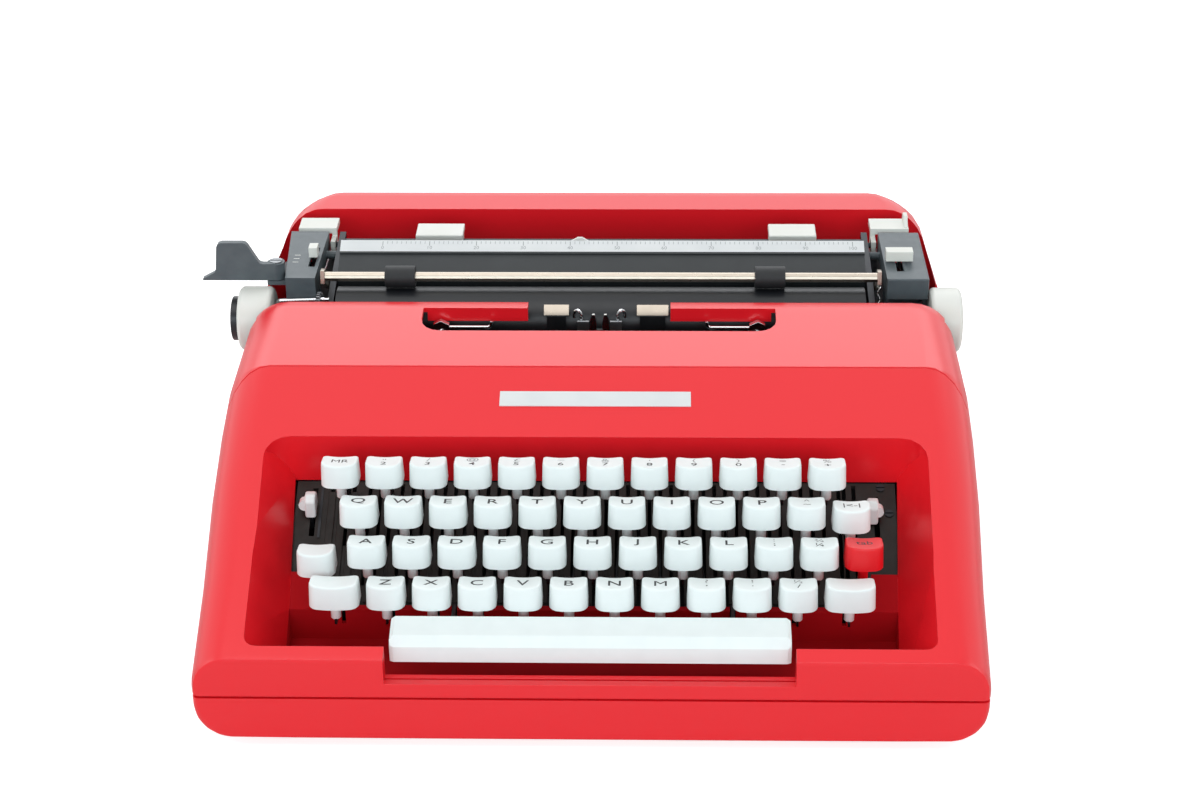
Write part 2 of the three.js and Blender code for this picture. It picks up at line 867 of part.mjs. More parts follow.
// The keys from the rear row to the front row; null is a figure or sign key.
const rowKeys = [
  { names: Array(keys.rearRowCount).fill(null) },
  { names: [...'qwertyuiop', null] },
  { names: [...'asdfghjkl', null, null] },
  { names: [...'zxcvbnm', null, null, null] },
];

function keyX(rowIndex, i) {
  return keys.firstX + (rowStaggerShares[rowIndex] + i) * keys.pitch;
}

function rowSpot(rowIndex) {
  const back = rowKeys.length - 1 - rowIndex;
  return {
    y: keys.frontRowBackEdge + back * keys.rowDepth,
    z: keys.frontRowHeight + back * keys.rowRise,
  };
}

const lastOf = (rowIndex) => keyX(rowIndex, rowKeys[rowIndex].names.length - 1);

const specialKeys = {
  backspace: { rowIndex: 1, x: lastOf(1) + keys.pitch, drop: keys.backspaceDrop },
  tab: { rowIndex: 2, x: lastOf(2) + keys.pitch - keys.tabStep },
  lock: { rowIndex: 2, x: keyX(2, 0) - keys.pitch - keys.lockStep, drop: keys.lockDrop },
  shiftLeft: { rowIndex: 3, x: keyX(3, 0) - keys.pitch - keys.shiftStep, wide: true },
  shiftRight: { rowIndex: 3, x: lastOf(3) + keys.pitch + keys.shiftStep, wide: true },
};
specialKeys.shiftLeft.leverX = keyX(0, 0) + lever.sideShift;
specialKeys.shiftRight.leverX = specialKeys.backspace.x - lever.sideShift;

const typingKeys = leverPlaces();
const allLevers = [...typingKeys, ...Object.values(specialKeys)]
  .map((key) => ({ x: key.leverX ?? key.x, rowIndex: key.rowIndex }));

function topHousing() {
  const [low, high] = [body.footHeight, body.rearHeight + overrun];
  const shell = upperOuter.subtract(upperInner);
  const within = upperOuter.add(box(-well.floorHalfWidth - well.plate, well.floorHalfWidth + well.plate,
    well.front - well.plate, well.rear, low, body.rimHeight - well.plate));
  const wellWall = wellSpace(body.wall, well.plate).add(tubSpace(well.plate)).intersect(within);
  const flange = prismZ(bayPlan(body.wall), bay.flangeBottom, body.rearHeight)
    .intersect(upperOuter)
    .intersect(box(-body.frontWidth, body.frontWidth, bay.notchRear, body.depth, 0, high));
  let housing = shell.add(wellWall).add(flange);
  housing = housing.subtract(wellSpace(0, 0)).subtract(tubSpace(0));
  housing = housing.subtract(prismZ(bayPlan(0), bay.bottom, high));
  housing = housing.subtract(coverRegion(cover.gap));
  const wide = body.frontWidth / 2 + body.sideBow + overrun;
  housing = housing.subtract(box(-wide, wide, bay.notchFront, bay.notchRear, bay.notchHeight, high));
  const barHalf = spaceBarNotch.halfWidth;
  housing = housing.subtract(box(-barHalf, barHalf, -overrun, well.front + overrun, spaceBarNotch.height, high));
  const behindApron = well.tubRear + well.plate;
  const window = box(-well.windowHalfWidth, well.windowHalfWidth, behindApron, well.rear, low, high)
    .add(prismZ([
      [-floorHalfWidthAt(well.sideWindowFront), well.sideWindowFront],
      [floorHalfWidthAt(well.sideWindowFront), well.sideWindowFront],
      [well.floorHalfWidth, well.rear],
      [-well.floorHalfWidth, well.rear],
    ], low, high));
  housing = housing.subtract(window.intersect(belowMaskPlane()));
  for (const { x, rowIndex } of allLevers) {
    const half = lever.thickness / 2 + lever.slotClearance;
    if (rowIndex === rowKeys.length - 1) {
      housing = housing.subtract(box(x - half, x + half, well.tubRear - overrun, behindApron + overrun,
        well.leverNotchHeight, high));
    }
  }
  for (const x of spaceBarArms()) {
    const half = spaceBar.armThickness / 2 + lever.slotClearance;
    housing = housing.subtract(box(x - half, x + half, well.tubRear - overrun, behindApron + overrun,
      well.barNotchHeight, high));
  }
  return housing;
}

function bayPlan(grow) {
  const half = bay.halfWidth + grow;
  const rear = bay.rear + grow;
  return rounded([
    [-half, bay.front, 0],
    [half, bay.front, 0],
    [half, rear, bay.corner + grow],
    [-half, rear, bay.corner + grow],
  ], segments.corner);
}

// Side view of the cover: its front edge leans forward down the side, and its lower
// front corner is round about the hinge line so that the cover can swing.
function coverRegion(grow) {
  const [dy, dz] = [cover.seamFront - body.deckEnd, cover.seamHeight - body.deckEndHeight];
  const length = Math.hypot(dy, dz);
  const radius = length + grow;
  const from = Math.atan2(dz, dy);
  const steps = segments.corner;
  const arc = Array.from({ length: steps + 1 }, (_, i) => {
    const angle = THREE.MathUtils.lerp(from, -Math.PI / 2 + (from < 0 ? 0 : 2 * Math.PI), i / steps);
    return [body.deckEnd + radius * Math.cos(angle), body.deckEndHeight + radius * Math.sin(angle)];
  });
  const [offY, offZ] = [(grow * dz) / length, (-grow * dy) / length];
  const topZ = body.rearHeight + overrun;
  const rise = topZ - body.deckEndHeight;
  const frontTop = body.deckEnd + (rise * dy) / dz;
  const rear = grow ? bay.front + overrun : body.coverEnd;
  arc[0] = [arc[0][0] + offY, arc[0][1] + offZ];
  return prismX([
    ...arc,
    [cover.sideRear + grow, body.deckEndHeight - radius],
    [cover.sideRear + grow, cover.rearSideTop],
    [rear, cover.rearSideTop],
    [rear, topZ],
    [frontTop + offY, topZ + offZ],
  ], -body.frontWidth, body.frontWidth);
}

function ribbonCover() {
  const inner = upperInner;
  let shell = upperOuter.subtract(inner).intersect(coverRegion(0));
  const high = body.rearHeight + overrun;
  const radius = cover.slotCorner;
  const half = cover.slotHalfWidth;
  const slot = prismZ(rounded([
    [-half, cover.slotFront, radius],
    [half, cover.slotFront, radius],
    [half, cover.flapFront, clearance],
    [-half, cover.flapFront, clearance],
  ], segments.corner), cover.seamHeight, high);
  const mouth = box(-cover.flapInner, cover.flapInner, cover.slotFront, body.coverEnd + overrun,
    cover.seamHeight, high);
  const lipTop = deckHeightAt(cover.flapFront) - body.wall / 2;
  for (const sx of [-1, 1]) {
    const xs = [sx * cover.flapInner, sx * (half - cover.flapLip)].sort((a, b) => a - b);
    shell = shell.add(box(...xs, cover.flapFront, cover.flapFront + cover.flapLip, lipTop - cover.flapDrop, lipTop));
  }
  return shell.subtract(slot).subtract(mouth);
}

function baseTray() {
  let tray = bodySolid(0, 'lower').subtract(bodySolid(body.wall, 'lower'));
  for (const sx of [-1, 1]) {
    for (const y of [foot.inset, body.depth - foot.inset]) {
      const x = sx * (halfWidthAt(y) - foot.inset);
      tray = tray.add(rodZ(x, y, foot.radius, 0, body.footHeight + body.wall / 2, segments.foot));
    }
  }
  return tray;
}

function keyMask() {
  const drop = well.plate + clearance;
  const front = well.tubRear + well.plate + clearance;
  const rear = well.rear - clearance;
  const sheet = (from) => [
    [from, maskPlaneAt(from) - drop],
    [rear, maskPlaneAt(rear) - drop],
    [rear, maskPlaneAt(rear) - drop - mask.thickness],
    [from, maskPlaneAt(from) - drop - mask.thickness],
  ];
  let plate = prismX(sheet(mask.sideFront), -mask.halfWidth, mask.halfWidth)
    .add(prismX(sheet(front), -mask.frontHalfWidth, mask.frontHalfWidth));
  for (const { x, rowIndex } of allLevers) {
    const half = lever.thickness / 2 + lever.slotClearance;
    const behind = lastRow - 1 - rowIndex;
    const open = behind > 0 ? mask.sideFront + (behind - 1) * keys.rowDepth : front - overrun;
    plate = plate.subtract(box(x - half, x + half, open, mask.slotRear, 0, body.rearHeight));
  }
  for (const { x, y, tail, slotLength } of [touchLever, colourLever]) {
    const half = tail / 2 + lever.slotClearance;
    plate = plate.subtract(box(x - half, x + half, y - slotLength / 2, y + slotLength / 2, 0, body.rearHeight));
  }
  for (const x of spaceBarArms()) {
    const half = spaceBar.armThickness / 2 + lever.slotClearance;
    plate = plate.subtract(box(x - half, x + half, front - overrun, mask.sideFront, 0, body.rearHeight));
  }
  return plate;
}

// Keys

function keyCap(width) {
  const halfTilt = Math.tan(radians(keys.tilt));
  const plan = (w, d) => {
    const [hw, hd] = [w / 2, d / 2];
    return rounded([
      [-hw, -hd, keys.cornerRadius],
      [hw, -hd, keys.cornerRadius],
      [hw, hd, keys.backCornerRadius],
      [-hw, hd, keys.backCornerRadius],
    ], segments.keyCorner).map(([x, y]) => [x, y < 0 ? y - keys.bow * Math.max(0, 1 - (x / hw) ** 2) : y]);
  };
  const topDepth = keys.depth - keys.topTaper;
  const bottom = plan(width, keys.depth).map(([x, y]) => [x, y, -keys.height]);
  const top = plan(width - keys.topTaper, topDepth)
    .map(([x, y]) => [x, y, (topDepth / 2 - y) * halfTilt]);
  const block = loft([bottom, top]);
  const half = width / 2;
  const bowl = Array.from({ length: segments.bowl + 1 }, (_, i) => {
    const share = (2 * i) / segments.bowl - 1;
    return [half * share, -keys.dish * (1 - share * share)];
  });
  const reach = keys.depth;
  const lift = (y) => (topDepth / 2 - y) * halfTilt;
  const ring = (y) => [
    ...bowl.map(([x, z]) => [x * bowlShare, y, z + lift(y)]),
    [half * bowlShare, y, lift(y) + keys.height],
    [-half * bowlShare, y, lift(y) + keys.height],
  ];
  return block.subtract(loft([ring(-reach), ring(reach)]));
}

const capGeometry = new Map();

function placedCap(width, x, y, z) {
  if (!capGeometry.has(width)) {
    capGeometry.set(width, toGeometry(keyCap(width)));
  }
  return toSolid(capGeometry.get(width).clone().translate(x, y, z));
}

function stemFoot(rowIndex) {
  const spot = rowSpot(rowIndex);
  return { y: spot.y - keys.depth / 2, z: spot.z - keys.height - keys.stemLength };
}

function leverPath(rowIndex, tailEnd) {
  const start = stemFoot(rowIndex);
  const dip = lever.dipFront + lever.dipStep * (rowKeys.length - 1 - rowIndex);
  return [
    [start.y - keys.stemRadius, start.z],
    [start.y + lever.frontReach, start.z - lever.frontDrop],
    [dip, lever.lineZ],
    [tailEnd, lever.lineZ],
  ];
}

function rodSeat() {
  const gap = fulcrum.radius + clearance;
  const seat = rodX(fulcrum.y, fulcrum.z, gap, -body.frontWidth, body.frontWidth);
  return seat.add(box(-body.frontWidth, body.frontWidth, fulcrum.y - gap, fulcrum.y + gap, 0, fulcrum.z));
}

const seatCut = rodSeat();

const leverTailEnd = fulcrum.y + fulcrum.radius + lever.tail;

function leverEye(x, half) {
  const reach = lever.eyeReach;
  return box(x - half, x + half, fulcrum.y - reach, fulcrum.y + reach,
    fulcrum.z - lever.height / 2, fulcrum.z + reach);
}

function keyWithLever({ x, rowIndex, leverX = x, wide = false, drop = 0 }, tailEnd = leverTailEnd) {
  const spot = rowSpot(rowIndex);
  const width = wide ? keys.wideWidth : keys.width;
  const start = stemFoot(rowIndex);
  const cap = placedCap(width, x, start.y, spot.z - drop);
  const stem = rodZ(x, start.y, keys.stemRadius, start.z, spot.z - drop - keys.height / 2, segments.stem);
  const half = lever.thickness / 2;
  const arm = prismX(band(leverPath(rowIndex, tailEnd), lever.height), leverX - half, leverX + half);
  return cap.add(stem).add(arm.add(leverEye(leverX, half)).subtract(seatCut));
}

function figureAndSignKeys() {
  const tailEnd = comb.barY + comb.barWidth / 2;
  const gang = typingKeys.filter((key) => key.name === null);
  const xs = gang.map((key) => key.x);
  const half = lever.thickness / 2;
  const bar = box(Math.min(...xs) - half, Math.max(...xs) + half, comb.barY - comb.barWidth / 2, tailEnd,
    fulcrum.z - comb.barHeight / 2, fulcrum.z + comb.barHeight / 2);
  return union([...gang.map((key) => keyWithLever(key, tailEnd)), bar]);
}

function shiftKeys() {
  const { shiftLeft, shiftRight } = specialKeys;
  const half = lever.thickness / 2;
  const pieces = [shiftLeft, shiftRight].map((key) => {
    const riser = prismX([
      [fulcrum.y, fulcrum.z + fulcrum.radius + clearance],
      [shiftBail.barY + shiftBail.barWidth / 2, shiftBail.barZ - shiftBail.barWidth / 2],
      [shiftBail.barY + shiftBail.barWidth / 2, shiftBail.barZ + shiftBail.barWidth / 2],
      [fulcrum.y - lever.eyeReach, fulcrum.z + lever.eyeReach],
    ], key.leverX - half, key.leverX + half);
    return keyWithLever(key).add(riser);
  });
  const bar = box(shiftLeft.leverX - half, shiftRight.leverX + half,
    shiftBail.barY - shiftBail.barWidth / 2, shiftBail.barY + shiftBail.barWidth / 2,
    shiftBail.barZ - shiftBail.barWidth / 2, shiftBail.barZ + shiftBail.barWidth / 2);
  return union([...pieces, bar]);
}

// Space bar: a long moulding on two steel arms that rock on pins under the levers.

const spaceBarSection = [
  [spaceBar.rear, spaceBar.rearTop],
  [spaceBar.rear, spaceBar.rearBottom],
  [spaceBar.skirtRear, spaceBar.skirtTop],
  [spaceBar.skirtFoot, spaceBar.bottom],
  [spaceBar.front, spaceBar.bottom],
  [spaceBar.front, spaceBar.frontTop],
  [spaceBar.edge, spaceBar.edgeTop],
  [spaceBar.crest, spaceBar.crestTop],
];

function spaceBarArms() {
  return spaceBarLaneShares.map((share) => keys.firstX + share * keys.pitch);
}

function spaceBarSolid() {
  const inner = spaceBar.halfWidth - spaceBar.taper;
  const section = (x) => spaceBarSection.map(([y, z]) => [x, y, z]);
  const centreY = spaceBar.armY;
  const centreZ = spaceBar.skirtTop;
  const small = (x) => spaceBarSection.map(([y, z]) => [
    x,
    y + Math.sign(centreY - y) * spaceBar.endShrink,
    z > centreZ ? z - spaceBar.endShrink : z,
  ]);
  const bar = loft([small(-spaceBar.halfWidth), section(-inner), section(inner), small(spaceBar.halfWidth)]);
  const half = spaceBar.armThickness / 2;
  const arms = spaceBarArms().map((x) => {
    const path = [
      [spaceBar.armY, spaceBar.rearBottom],
      [spaceBar.armY, spaceBar.armZ],
      [fulcrum.y - spaceBar.armRun, fulcrum.z + spaceBar.armRise],
      [leverTailEnd, fulcrum.z + spaceBar.armRise],
    ];
    return prismX(band(path, spaceBar.armWidth), x - half, x + half).add(leverEye(x, half)).subtract(seatCut);
  });
  return union([bar, ...arms]);
}

// Chassis

function chassisFrame() {
  const c = chassis;
  const side = [
    [c.front, c.bottom],
    [c.rear, c.bottom],
    [c.rear, c.rearHeight],
    [bay.notchRear + overrun, c.rearHeight],
    [bay.notchRear, c.seatHeight],
    [bay.notchFront, c.seatHeight],
    [bay.notchFront - overrun, c.basketHeight],
    [c.shelfFront, c.basketHeight],
    [c.front, c.frontHeight],
  ];
  const pieces = [];
  const span = c.plateX + c.plateThickness / 2;
  for (const sx of [-1, 1]) {
    const x = sx * c.plateX;
    pieces.push(prismX(side, x - c.plateThickness / 2, x + c.plateThickness / 2));
    const inner = sx * c.shelfInner;
    pieces.push(box(Math.min(x, inner), Math.max(x, inner), c.shelfFront, c.shelfRear,
      c.shelfHeight - c.shelfThickness, c.shelfHeight));
    pieces.push(rodZ(sx * spool.x, spool.y, spool.spindle, c.shelfHeight - c.shelfThickness / 2,
      c.shelfHeight + spool.height - spool.flange, segments.pin));
    const guideX = sx * c.guideHalfWidth;
    pieces.push(box(guideX - c.plateThickness, guideX + c.plateThickness,
      basket.y + basket.halfDepth + clearance + c.guideThickness / 2, c.railFront + c.plateThickness,
      c.seatHeight - c.railHeight, carriage.shoeBottom - clearance));
  }
  pieces.push(box(-span, span, c.railFront, c.railRear, carriage.railTop - c.railHeight, carriage.railTop));
  pieces.push(rodX(fulcrum.y, fulcrum.z, fulcrum.radius, -span, span));
  pieces.push(box(-span, span, c.rear - c.barDepth, c.rear, c.bottom, c.rearHeight));
  pieces.push(box(-span, span, c.rear - c.footDepth, c.rear, c.bottom, c.bottom + c.footThickness));
  const guideFront = basket.y + basket.halfDepth + clearance;
  const guideHalf = c.guideHalfWidth + c.guideOverlap;
  pieces.push(box(-guideHalf, guideHalf, guideFront, guideFront + c.guideThickness,
    lever.lineZ + c.guideRise, c.seatHeight));
  return union(pieces);
}

// Type basket: a slotted segment with the typebars lying forward in it, and the ribbon guide.

const printZ = platen.z;

function typebarAngles() {
  const steps = basket.typebarCount - 1;
  return Array.from({ length: basket.typebarCount }, (_, i) => -basket.spread / 2 + (basket.spread * i) / steps);
}

// One typebar lying forward at the bottom of the segment, head up.
function typebarAtRest(angle, slack) {
  const bottom = printZ - basket.radius;
  const tip = basket.y - basket.barLength;
  const profile = [
    [basket.y + slack, bottom - basket.barHeight / 2],
    [basket.y + slack, bottom + basket.barHeight / 2],
    [tip + basket.headLength, bottom + basket.barHeight / 2],
    [tip + basket.headLength, bottom + basket.headHeight],
    [tip, bottom + basket.headHeight],
    [tip, bottom - basket.barHeight / 2],
  ];
  const half = basket.barThickness / 2;
  const swap = new THREE.Matrix4().set(0, 0, 1, -half, 1, 0, 0, 0, 0, 1, 0, 0, 0, 0, 0, 1);
  const geometry = extrude(profile, basket.barThickness).applyMatrix4(swap);
  geometry.translate(0, 0, -printZ).rotateY(radians(angle)).translate(0, 0, printZ);
  return toSolid(geometry);
}

function typeBasket() {
  const b = basket;
  const reach = radians(b.spread / 2 + b.endSpread);
  const steps = segments.basket;
  const arc = (radius, from, to) => Array.from({ length: steps + 1 }, (_, i) => {
    const angle = from + ((to - from) * i) / steps;
    return [radius * Math.sin(angle), printZ - radius * Math.cos(angle)];
  });
  const outline = [...arc(b.bodyOuter, -reach, reach), ...arc(b.bodyInner, reach, -reach)];
  let segment = prismY(outline, b.y - b.halfDepth, b.y + b.halfDepth);
  const middle = (b.typebarCount - 1) / 2;
  typebarAngles().forEach((angle, i) => {
    if (i !== middle) segment = segment.add(typebarAtRest(angle, 0));
  });
  segment = segment.subtract(box(-b.slotWidth / 2, b.slotWidth / 2,
    b.y - b.halfDepth - overrun, b.y + b.halfDepth - b.slotWeb,
    printZ - b.radius - b.barHeight, printZ - b.bodyInner + overrun));
  for (const sx of [-1, 1]) {
    const guide = prismX([
      [b.guideFront, printZ - b.bodyInner - b.guideSeat],
      [b.guideFront + b.guideThickness, printZ - b.bodyInner - b.guideSeat],
      [b.guideFront + b.guideThickness, b.guideTop],
      [b.guideFront, b.guideTop],
    ], Math.min(sx * b.guideGap, sx * b.guideHalfWidth), Math.max(sx * b.guideGap, sx * b.guideHalfWidth));
    segment = segment.add(guide);
  }
  return segment;
}

function strikingTypebar() {
  return typebarAtRest(0, basket.barHeight / 2);
}

// Ribbon spools

function ribbonSpool(side) {
  const s = spool;
  const base = chassis.shelfHeight + clearance;
  const bore = s.spindle + clearance;
  const profile = [
    [bore, 0],
    [s.radius, 0],
    [s.radius, s.flange],
    [s.hub, s.flange],
    [s.hub, s.height - s.flange],
    [s.radius, s.height - s.flange],
    [s.radius, s.height],
    [bore, s.height],
    [bore, 0],
  ].map(([r, z]) => new THREE.Vector2(r, z));
  const geometry = new THREE.LatheGeometry(profile, segments.spool).rotateX(Math.PI / 2);
  return toSolid(geometry.translate(side * s.x, s.y, base));
}

// Carriage

function carriageFrame() {
  const c = carriage;
  const plate = [
    [c.front, c.bottom],
    [c.lowerRear, c.bottom],
    [c.lowerRear, c.upperBottom],
    [c.rear, c.upperBottom],
    [c.rear, c.stopRailZ + c.stopRailHeight],
    [table.lowY, table.lowZ - c.plateDip],
    [platen.y - overrun, platen.z + c.shaftHood],
    [c.front, platen.z],
  ];
  const pieces = [];
  for (const sx of [-1, 1]) {
    const [x0, x1] = [sx * c.plateInner, sx * c.plateOuter].sort((a, b) => a - b);
    pieces.push(prismX(plate, x0, x1)
      .subtract(rodX(platen.y, platen.z, platen.shaftRadius + clearance, x0 - overrun, x1 + overrun)));
  }
  const span = c.plateInner + c.plateThickness / 2;
  pieces.push(box(-span, span, c.front, c.bedRear, c.bottom, c.bottom + c.bedThickness));
  pieces.push(box(-span, span, c.stopRailY - c.stopRailWidth / 2, c.stopRailY + c.stopRailWidth / 2,
    c.stopRailZ - c.stopRailHeight / 2, c.stopRailZ + c.stopRailHeight / 2));
  const saddle = [chassis.railFront - clearance, chassis.railRear + clearance];
  for (const sx of [-1, 1]) {
    const xs = [sx * c.shoeInner, sx * c.shoeOuter].sort((a, b) => a - b);
    const [front, rear] = [saddle[0] - c.shoeLip, saddle[1] + c.shoeLip];
    pieces.push(box(...xs, front, rear, c.shoeBottom, c.bottom + c.bedThickness / 2)
      .subtract(box(-span, span, ...saddle, 0, c.railTop + clearance)));
  }
  for (const sx of [-1, 1]) {
    const root = sx * (c.plateOuter - c.pinBite);
    const pin = bail.armInner + c.bailPinLength;
    const xs = [root, sx * pin].sort((a, b) => a - b);
    pieces.push(rodX(bail.pivotY, bail.pivotZ, bail.pivotRadius, ...xs, segments.pin));
    const tabPin = releaseTab.inner + releaseTab.thickness;
    const pinXs = [root, sx * tabPin].sort((a, b) => a - b);
    pieces.push(rodX(releaseTab.pinY, releaseTab.pinZ, releaseTab.pinRadius, ...pinXs, segments.pin));
  }
  return union(pieces);
}

function endCoverSolid(sx) {
  const e = endCover;
  const [frontOuter, rearOuter] = sx < 0 ? [e.frontOuterLeft, e.rearOuterLeft] : [e.outer, e.outer];
  const side = (front, rear, lowerFront, lowerRear, top, bottom, lowerBottom) => prismX([
    [front, top - e.frontDrop],
    [lowerFront, top - e.frontDrop],
    [lowerFront, lowerBottom],
    [lowerRear, lowerBottom],
    [lowerRear, bottom],
    [rear, bottom],
    [rear, top],
    [front, top],
  ], -body.frontWidth, body.frontWidth);
  const plan = (inner, front, rear, trim) => prismZ([
    [sx * inner, front],
    [sx * (frontOuter - trim), front],
    [sx * (rearOuter - trim), rear],
    [sx * inner, rear],
  ], 0, body.rearHeight + overrun);
  const w = e.wall;
  let shell = side(e.front, e.rear, e.lowerFront, e.lowerRear, e.top, e.bottom, e.lowerBottom)
    .intersect(plan(e.inner, e.front, e.rear, 0));
  const wide = body.frontWidth;
  shell = shell.subtract(box(-wide, wide, e.front + w, e.rear - w, e.bottom - overrun, e.top - w)
    .intersect(plan(e.inner + w, e.front, e.rear, w)));
  shell = shell.subtract(box(-wide, wide, e.front, e.lowerRear - w, 0, e.top - e.frontDrop)
    .subtract(box(-wide, wide, e.front, e.lowerFront + w, 0, e.top))
    .intersect(plan(e.inner - w, e.front, e.rear, w)));
  const spot = sx < 0 ? leftSmallLever : rightSmallLever;
  shell = shell.subtract(box(spot.x - e.slotWidth / 2, spot.x + e.slotWidth / 2,
    spot.y - smallLever.slotHalf, spot.y + smallLever.slotHalf, e.top - w - overrun, e.top + overrun));
  const pegInner = carriage.plateOuter + clearance;
  const xs = [sx * pegInner, sx * (e.inner + w / 2)].sort((a, b) => a - b);
  shell = shell.add(rodX(e.pegY, e.pegZ, e.pegRadius, ...xs, segments.pin));
  if (sx < 0) {
    const r = returnLever;
    const lugTop = r.bottom - clearance;
    const [lugFront, lugRear] = [r.pivotY - r.hubRadius, r.pivotY + r.hubRadius];
    shell = shell
      .add(box(r.pivotX - r.hubRadius, -frontOuter + w / 2, lugFront, lugRear, lugTop - r.lugThickness, lugTop))
      .add(rodZ(r.pivotX, r.pivotY, r.pinRadius, lugTop - r.lugThickness / 2, r.armTop));
  }
  return shell;
}

// The shaft runs through the left knob and ends in a dark plug outside it.
function platenSolid() {
  const p = platen;
  const roller = rodX(p.y, p.z, p.radius, -p.halfLength, p.halfLength, segments.round);
  const plugFace = p.knobOuter + clearance;
  const shaftEnd = p.knobInner + p.boreDepth - clearance;
  const shaft = rodX(p.y, p.z, p.shaftRadius, -plugFace - p.plugDepth / 2, shaftEnd, segments.shaft);
  const plug = rodX(p.y, p.z, p.plugRadius, -plugFace - p.plugDepth, -plugFace, segments.round);
  return union([roller, shaft, plug]);
}

function knobSolid(sx) {
  const p = platen;
  const bore = p.shaftRadius + clearance;
  const outer = sx < 0 ? p.knobOuter : p.rightKnobOuter;
  const skin = [
    [bore, p.knobInner],
    [p.knobRadius - p.knobBevel, p.knobInner],
    [p.knobRadius, p.knobInner + p.knobBevel],
    [p.knobRadius, outer - p.knobBevel],
    [p.knobRadius - p.knobBevel, outer],
  ];
  const boreEnd = p.knobInner + p.boreDepth;
  const inside = sx < 0 ? [[bore, outer]] : [[0, outer], [0, boreEnd], [bore, boreEnd]];
  const solid = turnedX([...skin, ...inside, skin[0]], p.y, p.z, segments.round);
  return sx > 0 ? solid : mirrorX(solid);
}

function mirrorX(solid) {
  return toSolid(toGeometry(solid).scale(-1, 1, 1));
}

function paperTable() {
  const t = table;
  const half = carriage.plateInner - clearance;
  const along = new THREE.Vector2(t.highY - t.lowY, t.highZ - t.lowZ);
  const length = along.length();
  along.normalize();
  const normal = new THREE.Vector2(-along.y, along.x);
  const at = (run, rise) => [
    t.lowY + along.x * run + normal.x * rise,
    t.lowZ + along.y * run + normal.y * rise,
  ];
  const sheet = prismX([at(0, 0), at(0, -t.thickness), at(length, -t.thickness), at(length, 0)], -half, half);
  const scale = prismX([
    at(length - t.scaleDepth, -t.thickness / 2),
    at(length, -t.thickness / 2),
    at(length, t.scaleRise),
    at(length - t.scaleDepth, t.scaleRise),
  ], -half, half);
  const behindRoller = platen.y + platen.radius;
  const trough = prismX(band([
    at(t.troughStart, -t.thickness / 2),
    [behindRoller + t.troughGap, platen.z + t.troughRise],
    [behindRoller + t.troughFootGap, platen.z - t.troughRise],
  ], t.thickness), -half, half);
  return sheet.add(scale).add(trough);
}

function marginStopSolid(x) {
  const c = carriage;
  const m = marginStop;
  const gapY = c.stopRailWidth / 2 + clearance;
  const gapZ = c.stopRailHeight / 2 + clearance;
  const outer = prismX([
    [c.stopRailY - gapY - m.grip, c.stopRailZ - gapZ - m.grip],
    [c.stopRailY + gapY + m.grip, c.stopRailZ - gapZ - m.grip],
    [c.stopRailY + gapY + m.grip, m.top - m.thickness],
    [m.rear, m.top - m.thickness],
    [m.rear, m.top],
    [c.stopRailY - gapY - m.grip, m.top],
  ], x - m.width / 2, x + m.width / 2);
  return outer.subtract(box(x - m.width, x + m.width, c.stopRailY - gapY, c.stopRailY + gapY,
    c.stopRailZ - gapZ, c.stopRailZ + gapZ));
}

const bailLift = platen.radius + bail.rollerRadius + clearance;
const bailZ = platen.z + Math.sqrt(bailLift ** 2 - bail.reach ** 2);

function paperBail() {
  const b = bail;
  const barHalf = b.armInner + b.armThickness / 2;
  const pieces = [rodX(b.y, bailZ, b.barRadius, -barHalf, barHalf, segments.pin)];
  for (const sx of [-1, 1]) {
    const [x0, x1] = [sx * b.armInner, sx * (b.armInner + b.armThickness)].sort((a, c) => a - c);
    const path = [
      [b.y - b.barRadius, bailZ + b.armLift],
      [b.y + b.armFlat, bailZ],
      [b.pivotY, b.pivotZ],
      [b.pivotY + b.tailReach, b.pivotZ - b.tailDrop],
    ];
    const eye = rodX(b.pivotY, b.pivotZ, b.pivotRadius + clearance, x0 - overrun, x1 + overrun, segments.pin);
    const arm = prismX(band(path, b.armHeight), x0, x1).subtract(eye);
    pieces.push(arm);
  }
  return union(pieces);
}

function bailRoller(x) {
  const b = bail;
  const bore = rodX(b.y, bailZ, b.barRadius + clearance, x - b.rollerLength, x + b.rollerLength, segments.pin);
  return rodX(b.y, bailZ, b.rollerRadius, x - b.rollerLength / 2, x + b.rollerLength / 2, segments.roller)
    .subtract(bore);
}

function returnLeverSolid() {
  const r = returnLever;
  const hub = rodZ(r.pivotX, r.pivotY, r.hubRadius, r.bottom, r.armTop, segments.hub);
  const outline = rounded([
    [r.pivotX, r.bottom, 0],
    [r.pivotX, r.neckTop, 0],
    [r.pivotX - r.neckReach, r.neckTop, r.corner],
    [r.pivotX - r.paddleInnerReach, r.paddleTop, r.corner],
    [r.pivotX - r.paddleOuterReach, r.paddleTop, r.corner],
    [r.pivotX - r.paddleFootReach, (r.bottom + r.neckTop) / 2, r.corner],
    [r.tip, r.bottom + r.tipThickness, 0],
    [r.tip, r.bottom, 0],
  ], segments.keyCorner);
  const blade = prismY(outline, r.bladeY - r.thickness / 2, r.bladeY + r.thickness / 2);
  return hub.add(blade)
    .subtract(rodZ(r.pivotX, r.pivotY, r.pinRadius + clearance, r.bottom - overrun, r.armTop + overrun));
}

